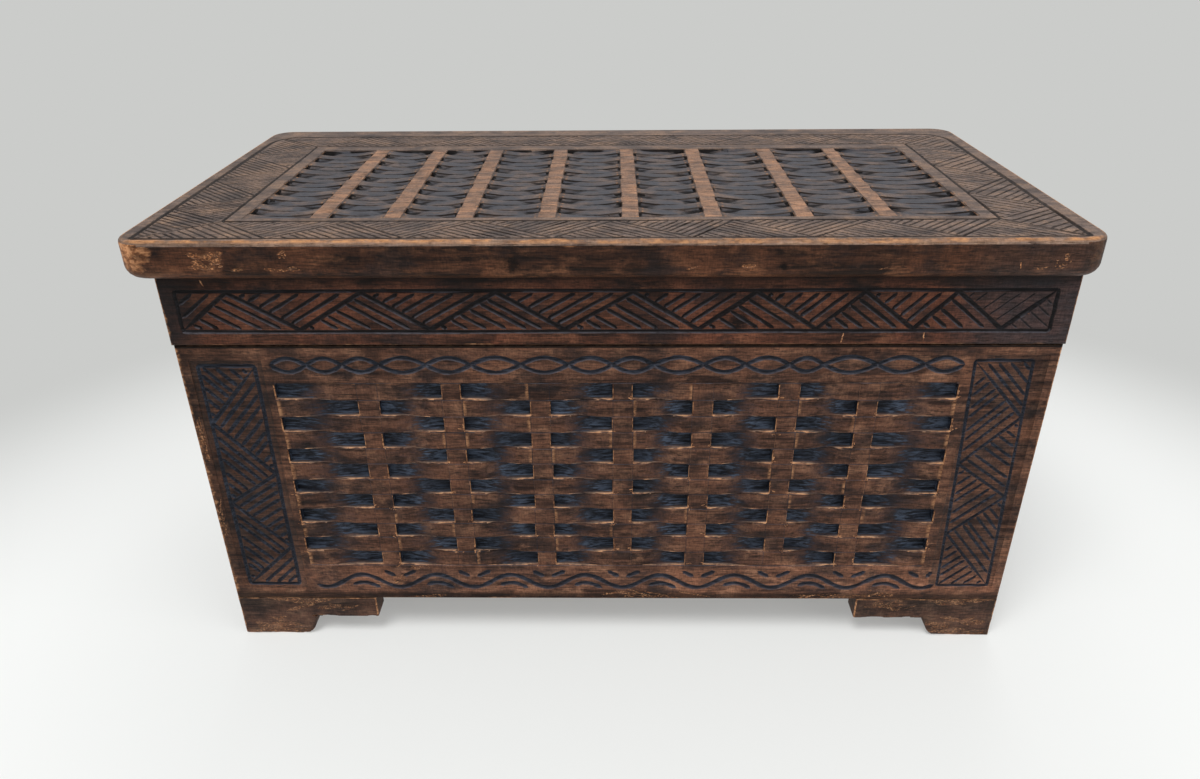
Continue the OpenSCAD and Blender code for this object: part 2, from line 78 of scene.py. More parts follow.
cutKinds = ["plain", "pocket", "groove", "flake", "wash", "scar"]
smoothAngle = math.radians(32)           # edges sharper than this are shaded sharp
facingCosine = 0.9                       # cosine above which a face looks along a direction
hair = 0.01 * mm                         # heights closer than this are the same height

random.seed(7)


# Tools that stand for what hands do in the modeller

def pickOnly(piece):
    bpy.ops.object.select_all(action="DESELECT")
    piece.select_set(True)
    bpy.context.view_layer.objects.active = piece


def settle(piece, turn=None):
    # the place, turn and size of the object go into its mesh
    if turn is not None:
        piece.matrix_world = turn @ piece.matrix_world
    pickOnly(piece)
    bpy.ops.object.transform_apply(location=True, rotation=True, scale=True)
    return piece


def block(name, low, high):
    low, high = Vector(low), Vector(high)
    bpy.ops.mesh.primitive_cube_add(size=1, location=(low + high) / 2)
    piece = bpy.context.object
    piece.name = name
    piece.scale = high - low
    return settle(piece)


def rod(name, middle, length, radius, turn=(0, 0, 0), sides=32):
    # a round bar, along z before its turn
    bpy.ops.mesh.primitive_cylinder_add(vertices=sides, radius=radius, depth=length, rotation=turn,
                                        location=middle)
    piece = bpy.context.object
    piece.name = name
    return settle(piece)


def selectOnly(piece, kind, test):
    # goes into edit mode with only those edges or faces selected that pass the test
    pickOnly(piece)
    bpy.ops.object.mode_set(mode="EDIT")
    bpy.ops.mesh.select_mode(type=kind)
    bpy.ops.mesh.select_all(action="DESELECT")
    bpy.ops.object.mode_set(mode="OBJECT")
    for part in (piece.data.edges if kind == "EDGE" else piece.data.polygons):
        part.select = test(part)
    bpy.ops.object.mode_set(mode="EDIT")


def roundEdges(piece, radius, steps, test):
    # test says from an edge's two ends whether it is rounded
    selectOnly(piece, "EDGE", lambda edge: test(*(piece.data.vertices[i].co for i in edge.vertices)))
    bpy.ops.mesh.bevel(offset=radius, segments=steps, affect="EDGES")
    bpy.ops.object.mode_set(mode="OBJECT")


def editWhole(piece, *steps):
    # runs the steps in edit mode with the whole mesh selected
    pickOnly(piece)
    bpy.ops.object.mode_set(mode="EDIT")
    bpy.ops.mesh.select_all(action="SELECT")
    for step in steps:
        step()
    bpy.ops.object.mode_set(mode="OBJECT")
    return piece


def closeUp(piece):
    # doubles merged, then every face turned outwards
    return editWhole(piece, lambda: bpy.ops.mesh.remove_doubles(threshold=0.001 * mm),
                     lambda: bpy.ops.mesh.normals_make_consistent(inside=False))


def copyOf(master, place):
    # a copy with its own mesh, put in place
    piece = master.copy()
    piece.data = master.data.copy()
    piece.data.transform(place)
    if place.determinant() < 0:
        piece.data.flip_normals()
    bpy.context.scene.collection.objects.link(piece)
    return piece


def discard(pieces):
    for piece in pieces:
        bpy.data.objects.remove(piece)


def cutAway(piece, cutters, kind="plain"):
    # the new faces keep the number of their kind of cut as their material number, until dress reads it
    number = cutKinds.index(kind)
    group = bpy.data.collections.new("cutters")
    bpy.context.scene.collection.children.link(group)
    for cutter in cutters:
        group.objects.link(cutter)
        for _ in cutKinds:
            cutter.data.materials.append(None)
        cutter.data.polygons.foreach_set("material_index", [number] * len(cutter.data.polygons))
    while len(piece.data.materials) < len(cutKinds):
        piece.data.materials.append(None)
    carve = piece.modifiers.new("carve", "BOOLEAN")
    carve.operation = "DIFFERENCE"
    carve.solver = "MANIFOLD"
    carve.operand_type = "COLLECTION"
    carve.collection = group
    pickOnly(piece)
    bpy.ops.object.modifier_apply(modifier=carve.name)
    discard(cutters)
    bpy.data.collections.remove(group)
    return piece


def solidsOf(node, grow):
    # cutters of a node's own solids, a little fatter, for the holes that hold them
    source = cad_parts[node]
    piece = source.copy()
    piece.data = source.data.copy()
    piece.parent = None
    piece.data.materials.clear()
    bpy.context.scene.collection.objects.link(piece)
    return editWhole(closeUp(piece), lambda: bpy.ops.transform.shrink_fatten(value=grow))


def holesOf(*nodes):
    return [solidsOf(node, fitRoom) for node in nodes]


def fromMm(point):
    return tuple(c * mm for c in point)


# Gouges. A face is carved flat at first: x to the right, z up, y into the wood, its surface at y = 0

frameOver = 0.6 * mm         # how far the lines of a frame are cut past each other
frameWander = 0.2 * mm       # how far they stray
scribeLook = {"rowWide": 0.6 * mm, "rowDeep": 0.3 * mm, "postWide": 0.55 * mm, "postDeep": 0.22 * mm,
              "seamWide": 1.3 * mm, "seamDeep": 0.8 * mm}


def grooves(lines, width, deep, thin=0.3):
    # V cuts along lines of (x, z) points; the lines of one call don't cross each other
    path = bpy.data.curves.new("groove", "CURVE")
    path.dimensions = "2D"
    path.fill_mode = "NONE"
    path.bevel_depth = width / 2
    path.bevel_resolution = 0
    path.use_fill_caps = True
    for line in lines:
        stroke = path.splines.new("POLY")
        stroke.points.add(len(line) - 1)
        for i, (x, z) in enumerate(line):
            stroke.points[i].co = (x, z, 0, 1)
            share = thin if i in (0, len(line) - 1) else 1
            stroke.points[i].radius = share * random.uniform(0.88, 1.12)
    piece = bpy.data.objects.new("groove", path)
    bpy.context.scene.collection.objects.link(piece)
    pickOnly(piece)
    bpy.ops.object.convert(target="MESH")
    piece = bpy.context.object
    piece.rotation_euler = (math.pi / 2, 0, 0)
    piece.scale = (1, 1, 2 * deep / width)
    settle(piece)
    return closeUp(piece)


def handLine(start, end, wander=0.12 * mm, steps=2):
    # a straight cut as a hand makes it: it starts and stops softly and wanders a little
    start, end = Vector(start), Vector(end)
    run = end - start
    side = Vector((-run.y, run.x)).normalized()
    soft = min(0.25, 1.5 * mm / run.length)
    between = [soft + (1 - 2 * soft) * i / (steps + 1) for i in range(1, steps + 1)]
    places = [0, soft] + between + [1 - soft, 1]
    return [start + run * t + side * random.uniform(-wander, wander) for t in places]


def zigzagLine(corners, wander=0.15 * mm):
    line = [Vector(corners[0])]
    for a, b in zip(corners, corners[1:]):
        a, b = Vector(a), Vector(b)
        side = Vector((a.y - b.y, b.x - a.x)).normalized()
        line += [a + (b - a) * t + side * random.uniform(-wander, wander) for t in (0.35, 0.68)]
        line.append(b)
    return line


def crossings(triangle, normal, level):
    # where the line normal . p = level crosses the sides of a triangle
    found = []
    for a, b in zip(triangle, triangle[1:] + triangle[:1]):
        da, db = normal.dot(a) - level, normal.dot(b) - level
        if (da < 0) != (db < 0):
            found.append(a + (b - a) * da / (da - db))
    return found


def hatchLines(triangle, along, spacing, inset):
    along = along.normalized()
    normal = Vector((-along.y, along.x))
    reach = [normal.dot(p) for p in triangle]
    low, high = min(reach), max(reach)
    count = max(2, round((high - low) / spacing))
    lines = []
    for i in range(1, count):
        level = low + (high - low) * i / count + random.uniform(-0.15, 0.15) * spacing
        ends = crossings(triangle, normal, level)
        if len(ends) == 2 and (ends[1] - ends[0]).length > 2.2 * inset + 2 * mm:
            run = (ends[1] - ends[0]).normalized()
            lines.append(handLine(ends[0] + run * inset, ends[1] - run * inset))
    return lines


def hatchedBand(corners, startCorner, endCorner, look):
    # a zigzag between two border lines, each of its triangles hatched to one side
    corners = [Vector(c) for c in corners]
    chain = [Vector(startCorner)] + corners + [Vector(endCorner)]
    diagonals = list(zip(corners, corners[1:]))
    sets, faint = ([], []), ([], [])
    for i in range(len(chain) - 2):
        lean = look["leans"][(i + 1) % 2]
        near = [diagonals[j] for j in (i - 1, i, i - 2, i + 1) if 0 <= j < len(diagonals)]
        along = next((b - a for a, b in near if (b - a).x * (b - a).y * lean > 0), Vector((1, lean)))
        group = faint if (chain[i] + chain[i + 1] + chain[i + 2]).x / 3 > look["faintFrom"] else sets
        group[i % 2].extend(hatchLines(chain[i:i + 3], along, look["spacing"], look["inset"]))
    cutters = [grooves([zigzagLine(corners)], look["zigzagWide"], look["zigzagDeep"])]
    cutters += [grooves(lines, look["hatchWide"], look["hatchDeep"]) for lines in sets if lines]
    wide, deep = (share * look[size] for share, size in zip(look["fainter"], ("hatchWide", "hatchDeep")))
    cutters += [grooves(lines, wide, deep) for lines in faint if lines]
    return cutters


def frameLines(low, high, look):
    # the four lines round a band, each cut on its own and a little past its neighbours
    over = frameOver
    (x0, z0), (x1, z1) = low, high
    ends = [((x0 - over, z0), (x1 + over, z0)), ((x0 - over, z1), (x1 + over, z1)),
            ((x0, z0 - over), (x0, z1 + over)), ((x1, z0 - over), (x1, z1 + over))]
    return [grooves([handLine(a, b, frameWander, 9)], look["frameWide"], look["frameDeep"]) for a, b in ends]


def pocketMaster(length, tall, look, share, rise):
    # one dip of a strip under a post: deepest at x = 0, then up to where the strip runs over the next post
    deep = look["deep"] * share
    side, edge = 0.5 * tall, look["notch"]
    lap, bevel = 0.04 * mm, 0.5 * mm         # overlap with the next strip, slope at the post's edge
    across = [-side - lap, -side + edge, -side + edge + 0.2 * mm, -side + edge + 0.6 * mm, 0,
              side - edge - 0.4 * mm, side - edge, side - 0.4 * edge, side + lap]
    shares = (0.06, 0.13, 0.22, 0.32, 0.43, 0.54, 0.65, 0.77, 0.89, 1)
    along = [-bevel, 0, 0.25 * mm] + [length * t for t in shares]

    def dip(t):
        # depth of a strip at the share t of the way from the post that it passes under
        t = min(1, max(0, t))
        under = deep * 0.5 * (1 + math.cos(math.pi * min(1, t / look["reach"]) ** rise))
        return max(under, look["least"] + look["sag"] * math.sin(math.pi * t))

    bpy.ops.mesh.primitive_grid_add(x_subdivisions=len(along) - 1, y_subdivisions=len(across) - 1, size=2)
    piece = bpy.context.object
    piece.name = "pocket"
    columns, rows = len(along), len(across)
    for point in piece.data.vertices:
        i = round((point.co.x + 1) / 2 * (columns - 1))
        j = round((point.co.y + 1) / 2 * (rows - 1))
        x, z = along[i], across[j]
        own, other = dip(x / length), dip(1 - x / length)
        gap = max(0, own - other)
        if i == 0:
            y = -0.05 * mm
        elif i == 1:
            y = bevel
        elif j in (0, rows - 1):
            y = other if gap > 0 else own + look["valley"] * min(1, own / (0.6 * mm))
        elif j in (1, rows - 2):
            y = other + min(gap, 0.42 * mm) if gap > 0 else own
        elif j == 4:
            y = own + look["bow"] * min(1, own / mm)         # hollowed, or left round if less than 0
        else:
            y = own
        if j in (2, 3):
            z += look["ledge"] * gap
        if i < 3:
            z *= 1 - bevel / tall * (3 - i)
        point.co = (x, y, z)
    extrude = bpy.ops.mesh.extrude_region_move
    editWhole(piece, lambda: extrude(TRANSFORM_OT_translate={"value": (0, -1, 0)}))
    for point in piece.data.vertices:
        if point.co.y < -0.5:
            point.co.y = -past
    return closeUp(piece)


def weaveCutters(look):
    # strips that pass over one post and under the next, cut as pockets from the posts outwards
    rows, posts = look["rows"], look["posts"]
    tall = (look["high"] - look["low"]) / rows
    lines = [look["low"] + tall * k + random.uniform(-0.25, 0.25) * mm for k in range(rows + 1)]
    edges = [look["left"]] + [p + s * look["postWide"] / 2 for p in posts for s in (-1, 1)] + [look["right"]]
    typical = (edges[-1] - edges[0]) / (len(posts) + 1) - look["postWide"]
    masters = [pocketMaster(typical, tall, look, share, rise)
               for share, rise in zip((1, 0.93, 1.04, 0.88), look["rises"])]
    cutters, spots = [], []
    for row in range(rows):
        for column in range(len(posts) + 1):
            left, right = edges[2 * column], edges[2 * column + 1]
            fromLeft = (rows - 1 - row + column) % 2 == 0
            start = (left if fromLeft else right) + random.uniform(-0.4, 0.4) * mm
            run = ((right - left) if fromLeft else (left - right)) / typical
            middle = (lines[row] + lines[row + 1]) / 2
            stretch = (lines[row + 1] - lines[row]) / tall
            place = Matrix.Translation((start, 0, middle)) @ Matrix.Diagonal((run, 1, stretch, 1))
            cutters.append(copyOf(random.choice(masters), place))
            # corners knocked off, more of them low down and to the right
            if random.random() < look["chipped"] * (1.1 - 0.6 * row / rows + 0.3 * column / len(posts)):
                edge = start / mm + random.uniform(-0.3, 0.3)
                low = middle / mm - random.uniform(0.1, 0.45) * tall / mm
                spots += [(edge, low, 1.6, 4.5, 2), (edge + random.uniform(-1.5, 1.5), low - 1, 4.5, 1.6, 2)]
    discard(masters)
    # faint lines that the carver scribed to lay out the strips and posts
    rowSize, postSize, seamSize = ((scribeLook[part + "Wide"], scribeLook[part + "Deep"])
                                   for part in ("row", "post", "seam"))
    scribed = [grooves([handLine((edges[0], z), (edges[-1], z), 0.12 * mm, 12)], *rowSize) for z in lines]
    scribed += [grooves([handLine((x, lines[0]), (x, lines[-1]), 0.16 * mm, 8)], *postSize)
                for x in edges[1:-1]]
    if look["sag"]:
        # seams between strips that hang lower in the middle of each gap
        for left, right in zip(edges[0::2], edges[1::2]):
            seams = grooves([handLine((left, z), (right, z), 0.1 * mm, 9) for z in lines[1:-1]], *seamSize)
            for point in seams.data.vertices:
                t = min(1, max(0, (point.co.x - left) / (right - left)))
                point.co.y += look["least"] + look["sag"] * math.sin(math.pi * t)
            scribed.append(seams)
    return cutters, scribed, spots


# shares of a flake's size: how long and thick it is and how far it strays from the edge
chipLook = {"long": (2, 9), "thick": (0.35, 0.9), "stray": 0.35}


def chips(low, high, count, size, seed):
    # small flat flakes knocked off along an edge from low to high
    dice = random.Random(seed)
    low, high = Vector(low), Vector(high)
    run = (high - low).normalized()
    bpy.ops.mesh.primitive_ico_sphere_add(subdivisions=2, radius=1)
    master = bpy.context.object
    cutters = []
    for _ in range(count):
        long = dice.uniform(*chipLook["long"]) * size
        thick = dice.uniform(*chipLook["thick"]) * size
        spot = low.lerp(high, dice.random())
        off = Vector([dice.uniform(-1, 1) for _ in "xyz"]) * chipLook["stray"] * size
        grow = Matrix.Diagonal((long if abs(run.x) > 0.5 else thick,
                                long if abs(run.y) > 0.5 else thick,
                                long if abs(run.z) > 0.5 else thick, 1))
        cutters.append(copyOf(master, Matrix.Translation(spot + off) @ grow))
    discard([master])
    return cutters


# Materials. One function adds a node, another makes a written colour linear

def addNode(tree, kind, *inputs, **settings):
    # inputs come in the order of the sockets, or by name in one dictionary; a node stands for its first
    # output and None leaves a socket as it is
    node = tree.nodes.new("ShaderNode" + kind)
    for name, value in settings.items():
        setattr(node, name, value)
    named = inputs[0] if inputs and isinstance(inputs[0], dict) else dict(enumerate(inputs))
    for name, value in named.items():
        if isinstance(value, bpy.types.ShaderNode):
            value = value.outputs[0]
        if isinstance(value, bpy.types.NodeSocket):
            tree.links.new(value, node.inputs[name])
        elif value is not None:
            node.inputs[name].default_value = value
    return node


def colour(text):
    channels = [int(text[i:i + 2], 16) / 255 for i in (1, 3, 5)]
    return tuple(c / 12.92 if c <= 0.04045 else ((c + 0.055) / 1.055) ** 2.4 for c in channels) + (1,)


def newMaterial(name):
    # an empty material, and what adds a node to it
    material = bpy.data.materials.new(name)
    material.use_nodes = True
    material.node_tree.nodes.clear()
    return material, partial(addNode, material.node_tree)


def stainedWood(name, look, edges, turn=(0, 0, 0), shift=(0, 0, 0)):
    # walnut carved with gouges, stained dark and waxed: satin brown, near black where the dye lies thick, tan
    # where handling has worn it off. turn and shift lay the carved face on y = 0 with its grain along x, and
    # edges are the face's left, right, lower and upper ends there
    material, add = newMaterial(name)
    spot = add("TexCoord")
    place = add("Mapping", spot.outputs["Object"], shift, turn)
    atX, atY, atZ = add("SeparateXYZ", place).outputs
    facing = add("Mapping", spot.outputs["Normal"], None, turn, vector_type="VECTOR")
    wayY, wayZ = add("SeparateXYZ", facing).outputs[1:]
    cut = add("Attribute", attribute_name="cut").outputs["Fac"]
    isCut = {kind: add("Math", cut, number, 0.5, operation="COMPARE") for number, kind in enumerate(cutKinds)}

    def share(part):
        # the x at this part of the face's width
        return edges[0] + part * (edges[1] - edges[0])

    # sizes of each layer in mm along the grain, into the wood and across the grain; real fibres and pores
    # are three times finer, too fine for the render
    layers = {"figure": (90, 4, 4), "patches": (34, 34, 30), "rubbed": (16, 11, 9), "stains": (30, 18, 14),
              "fibres": (11, 1, 1), "ticks": (0.9, 3, 3), "specks": (4, 2, 2), "pores": (5, 0.6, 0.6),
              "grit": (1.2, 0.8, 0.8)}
    noise = {}
    for part, sizes in layers.items():
        grid = add("Mapping", place, (7.3 * len(noise), 0, 0), None, tuple(1 / (s * mm) for s in sizes))
        noise[part] = add("TexNoise", {"Vector": grid, "Scale": 1, "Detail": 5, "Roughness": 0.65})

    # plain face: dark and mid brown by the figure, redder, paler and blacker in patches
    figure = add("MapRange", noise["figure"], 0.41, 0.59)
    tone = add("MixRGB", figure, colour(look["dark"]), colour(look["mid"]))
    for part, low, high, most in (("patches", 0.46, 0.6, 0.85), ("rubbed", 0.5, 0.66, look["rub"]),
                                  ("stains", 0.5, 0.62, look["stain"])):
        amount = add("MapRange", noise[part], low, high, 0, most)
        tone = add("MixRGB", amount, tone, colour(look[part]))
    wash = add("MapRange", noise["rubbed"], 0.42, 0.6, *look["wash"])
    wash = add("Math", wash, isCut["wash"], operation="MULTIPLY")
    for low, high, before, after in look["smoke"]:
        smoke = add("MapRange", atX, share(low), share(high), before, after)
        wash = add("Math", wash, smoke, operation="MAXIMUM")
    tone = add("MixRGB", wash, tone, colour(look["washed"]))
    factors = [add("MapRange", noise[part], 0.38, 0.62, *look[part]) for part in ("fibres", "ticks")]
    for low, high, before, after in look["across"]:
        factors.append(add("MapRange", atX, share(low), share(high), before, after))
    for low, high, below, above in look["tiers"]:
        factors.append(add("MapRange", atZ, low * mm, high * mm, below, above))
    for x, z, radius in look["knots"]:
        away = add("VectorMath", place, (x * mm, 0, z * mm), operation="DISTANCE")
        ragged = add("MapRange", noise["specks"], 0.35, 0.65, -0.5 * radius * mm, 0.5 * radius * mm)
        away = add("Math", away.outputs["Value"], ragged, operation="ADD")
        factors.append(add("MapRange", away, 0.6 * radius * mm, 1.5 * radius * mm, 0.15, 1))
    for factor in factors:
        tone = add("MixRGB", 1, tone, factor, blend_type="MULTIPLY")
    pores = add("MapRange", noise["pores"], 0.55, 0.63, 0, 0.8)
    tone = add("MixRGB", pores, tone, colour(look["pore"]))

    # silt in half-deep dips
    floorDepth = atY
    for part, reach in (("patches", 0.3 * mm), ("fibres", 0.8 * mm)):
        ragged = add("MapRange", noise[part], 0.35, 0.65, -reach, reach)
        floorDepth = add("Math", floorDepth, ragged, operation="ADD")
    silt = add("MapRange", floorDepth, 0.2 * mm, 1 * mm, 0, look["silted"])
    patchy = add("MapRange", noise["rubbed"], 0.44, 0.58, 1, 0.6)
    for limit in (patchy, isCut["pocket"]):
        silt = add("Math", silt, limit, operation="MULTIPLY")
    tone = add("MixRGB", silt, tone, colour(look["silt"]))

    # dye on the floors of deep dips, on steep walls and in grooves, with dust on it and a painted blue-grey
    # sheen
    floorDye = add("MapRange", floorDepth, look["dyeFrom"] * mm, look["dyeFull"] * mm, 0, 0.97)
    wall = add("MapRange", wayY, -0.72, -0.45)
    wallDepth = add("MapRange", atY, 0.3 * mm, 0.7 * mm, 0, 0.97)
    wallDye = add("Math", wall, wallDepth, operation="MULTIPLY")
    dyed = add("Math", floorDye, wallDye, operation="MAXIMUM")
    dyed = add("Math", dyed, isCut["pocket"], operation="MULTIPLY")
    grooveDye = add("MapRange", atY, -0.05 * mm, 0.35 * mm, 0, look["grooved"])
    grooveDye = add("Math", grooveDye, isCut["groove"], operation="MULTIPLY")
    dyed = add("Math", dyed, grooveDye, operation="MAXIMUM")
    dustAndSheenShare = add("MapRange", noise["fibres"], 0.42, 0.62, 0, look["dustAndSheenShare"])
    dustAndSheenPatches = add("MapRange", noise["rubbed"], 0.42, 0.58, 0.45, 1)
    deepDustAndSheen = add("MapRange", floorDepth, (look["dyeFull"] - 0.7) * mm, (look["dyeFull"] + 0.5) * mm, 0.1, 1)
    inGroove = add("Math", isCut["groove"], 0.45, operation="MULTIPLY")
    deepDustAndSheen = add("Math", deepDustAndSheen, inGroove, operation="MAXIMUM")
    for limit in (dustAndSheenPatches, deepDustAndSheen):
        dustAndSheenShare = add("Math", dustAndSheenShare, limit, operation="MULTIPLY")
    dyeTone = add("MixRGB", dustAndSheenShare, colour(look["dye"]), colour(look["dustAndSheen"]))
    tone = add("MixRGB", dyed, tone, dyeTone)

    # lower walls of dips and grooves, which face up, painted paler: partly dust on them, partly a painted
    # highlight where light from above falls on them
    upFacing = add("MapRange", wayZ, 0.2, 0.5)
    speckle = add("MapRange", noise["specks"], 0.38, 0.56, 0.35, 1)
    shallow = add("MapRange", atY, 1.5 * mm, 0.8 * mm)
    for kind, amount in (("pocket", look["ledge"]), ("groove", look["lip"])):
        ledge = upFacing
        for limit in (amount, speckle, isCut[kind], shallow):
            ledge = add("Math", ledge, limit, operation="MULTIPLY")
        tone = add("MixRGB", ledge, tone, colour(look[kind + "DustAndHighlight"]))

    # worn to bare wood: the mouths of the dips, rounded edges, flakes and a ragged rim round the face
    steep = add("MapRange", wayY, -0.93, -0.8)
    mouth = add("MapRange", atY, 0.75 * mm, 0.5 * mm)
    dipped = add("MapRange", atY, look["mouthFrom"] * mm, (look["mouthFrom"] + 0.15) * mm)
    sizes = add("SeparateXYZ", add("VectorMath", facing, operation="ABSOLUTE")).outputs
    most = add("Math", sizes["X"], sizes["Y"], operation="MAXIMUM")
    most = add("Math", most, sizes["Z"], operation="MAXIMUM")
    rounded = add("MapRange", most, 0.998, 0.93)
    under = add("MapRange", wayZ, -0.12, -0.02, 0.12, 1)
    along = add("MapRange", atX, edges[0] + 12 * mm, edges[0] + 25 * mm, 1, look["farEdges"])
    front = add("MapRange", wayY, -0.5, -0.9)
    bare = add("Math", 1, dyed, operation="SUBTRACT")
    uneven = add("MapRange", noise["rubbed"], 0.35, 0.65, -0.9, 0.9)
    masks = [(steep, mouth, dipped, isCut["pocket"], under), (rounded, isCut["plain"], under, along)]
    for end, axis, sign, wide in zip(edges, (atX, atX, atZ, atZ), (1, -1, 1, -1), look["rims"]):
        inward = add("Math", axis, sign / (wide * mm), -sign * end / (wide * mm), operation="MULTIPLY_ADD")
        inward = add("Math", inward, uneven, operation="ADD")
        masks.append((add("MapRange", inward, 1, 0, 0, 0.9), front, bare))
    worn = isCut["flake"]
    for mask, *limits in masks:
        for limit in limits:
            mask = add("Math", mask, limit, operation="MULTIPLY")
        worn = add("Math", worn, mask, operation="MAXIMUM")
    coverage = add("MapRange", noise["specks"], 0.4, 0.54, look["cover"], look["wear"])
    worn = add("Math", worn, coverage, operation="MULTIPLY")
    speckled = add("MapRange", noise["grit"], 0.51, 0.59, 0.1 * look["speckle"], look["speckle"])
    speckled = add("Math", speckled, isCut["scar"], operation="MULTIPLY")
    worn = add("Math", worn, speckled, operation="MAXIMUM")
    wornShare = add("MapRange", noise["specks"], 0.38, 0.6)
    wornTone = add("MixRGB", wornShare, colour(look["wornDark"]), colour(look["worn"]))
    tone = add("MixRGB", worn, tone, wornTone)

    # darker at the joint with another piece: grime in the joint and painted shade of the gap beside it, less
    # on faces that look up or down
    low, high, below, above = look["seam"]
    darkening = add("MapRange", atZ, low * mm, high * mm, below, above)
    meeting = add("MapRange", sizes["Z"], 0.85, 0.98, 0, 0.7)
    darkening = add("Math", darkening, meeting, operation="MAXIMUM")
    tone = add("MixRGB", 1, tone, darkening, blend_type="MULTIPLY")

    # old wax, with the usual IOR but a weak shine, glossier on the ribs of the fibres; the surface swells by
    # 0.6 mm, its fibres stand 0.15 mm high and its pores are 0.08 mm deep
    polish = add("MapRange", noise["fibres"], 0.35, 0.65, look["rough"] - 0.08, look["rough"] + 0.1)
    relief = None
    for height, deep, sunk in ((noise["rubbed"], 0.6, False), (noise["fibres"], 0.15, False),
                               (pores, 0.08, True)):
        relief = add("Bump", {"Strength": 0.7, "Distance": deep * mm, "Height": height, "Normal": relief},
                     invert=sunk)
    add("OutputMaterial", add("BsdfPrincipled", {"Base Color": tone, "Roughness": polish, "Normal": relief,
                                                 "Specular IOR Level": look["shine"]}))
    return material


# rub, stain, silted, dust and painted sheen on the dye, grooved, ledge and lip (dust and painted highlight on
# walls that face up), speckle: the most of a layer that shows. fibres and ticks: the tone's factors in their
# dark and pale. dyeFrom, dyeFull, mouthFrom and rims are in mm, knots x, z and radius in mm. across, tiers
# and seam: from one share of the width, or height in mm, to another, the tone's factor before and after;
# smoke: the same with the share of the washed colour
walnutLook = {
    "dark": "#2b1b15", "mid": "#5a3d2f", "patches": "#654332", "rubbed": "#845f49", "rub": 0.6,
    "stains": "#1c1819", "stain": 0.7, "pore": "#110d0b", "silt": "#2b2a30", "silted": 0.25,
    "washed": "#15161a", "wash": (0, 0.5), "dye": "#10131a", "dustAndSheen": "#4a5566", "dustAndSheenShare": 0.9,
    "dyeFrom": 0.8, "dyeFull": 2.4, "grooved": 0.96, "ledge": 0.75, "pocketDustAndHighlight": "#8c7362",
    "lip": 0.5, "grooveDustAndHighlight": "#55535a", "mouthFrom": 0.03, "fibres": (0.6, 1.35), "ticks": (0.8, 1.24),
    "worn": "#c39169", "wornDark": "#7d4c2e", "rims": (1.8, 0.8, 0.7, 0.6), "cover": 0.3, "wear": 0.95,
    "farEdges": 1, "across": ((0.01, 0.1, 0.5, 0.92), (0.1, 1, 0.95, 1.15)), "smoke": (),
    "tiers": ((3, 6, 0.25, 1), (17, 30, 1.75, 1.05)), "knots": (), "speckle": 0.8,
    "seam": (wallTall / mm - 1.6, wallTall / mm - 1.2, 1, 0.06), "rough": 0.5, "shine": 0.13,
}
railLook = dict(
    walnutLook, dark="#281812", mid="#523224", patches="#5f3828", rubbed="#6f4733", washed="#2d2d31",
    smoke=((0, 0.04, 0.7, 0), (0.85, 0.93, 0, 0.7)), dye="#0d0a0a", dustAndSheen="#33343a", rims=(1.2, 0.8, 0.7, 0.2),
    across=((0.01, 0.1, 0.45, 1), (0.1, 1, 0.95, 1.05)), seam=(0.4, 0.8, 0.06, 1),
    # tiers: the rail's top few mm, under the slab's overhang, darkened as painted shade
    tiers=((railTall / mm - 7, railTall / mm - 2, 1, 0.3),), knots=((58.5, 12.5, 4),))
# the lid's tones are paler and greyer than the walls': partly real rubbing and dust, partly painted light
# from above and a painted grey sheen
lidLook = dict(
    walnutLook, dark="#544741", mid="#74635a", patches="#7f6859", rubbed="#967861", stains="#443c3a",
    washed="#9c755b", wash=(0.3, 0.95), silt="#43444a", silted=0.95, dye="#120e0d", dustAndSheen="#2c2a2c", dustAndSheenShare=0.4,
    dyeFrom=2, dyeFull=2.8, grooved=0.85, ledge=0.3, lip=0.3, mouthFrom=0.4, fibres=(0.62, 1.33),
    ticks=(0.82, 1.18), worn="#c9905f", wornDark="#96653d", rims=(0.8, 0.8, 3.2, 0.4), cover=0.7,
    across=((0, 1, 0.92, 1.05),), tiers=(), seam=(0, 0.1, 1, 1), shine=0.16)
slabLook = dict(
    walnutLook, dark="#1d120d", mid="#442a1d", patches="#593725", rubbed="#704a33", wear=1.0, cover=0.5,
    worn="#c38c62", wornDark="#8c5632", rims=(14, 0.3, 0.1, 1.6), farEdges=0.1, washed="#2c2b2c",
    smoke=((0.84, 0.9, 0, 0.4),), across=((0, 0.2, 0.85, 1), (0.93, 0.97, 1, 1.25)),
    tiers=((3, 11, 1.12, 0.74),), seam=(0, 0.1, 1, 1), knots=((-43.4, 7.5, 3.2), (78.8, 6.5, 1.6)))
footLook = dict(
    walnutLook, dark="#231916", mid="#49362d", patches="#553b2f", rubbed="#6f5444", speckle=0.6,
    rims=(1, 1, 0.8, 0.5), across=(), tiers=((14, 22, 1.15, 0.7),), seam=(0, 0.1, 1, 1))


def turned(about, degrees, surface, up, middle=bodyMiddle):
    # turn and shift that bring a face of the trunk to x across, y into the wood, z up
    angles = [math.radians(degrees) if axis == about else 0 for axis in "XYZ"]
    moved = Matrix.Rotation(math.radians(degrees), 3, about) @ Vector((middle, 0, 0))
    return {"turn": tuple(angles), "shift": Vector((0, surface, up)) - moved}


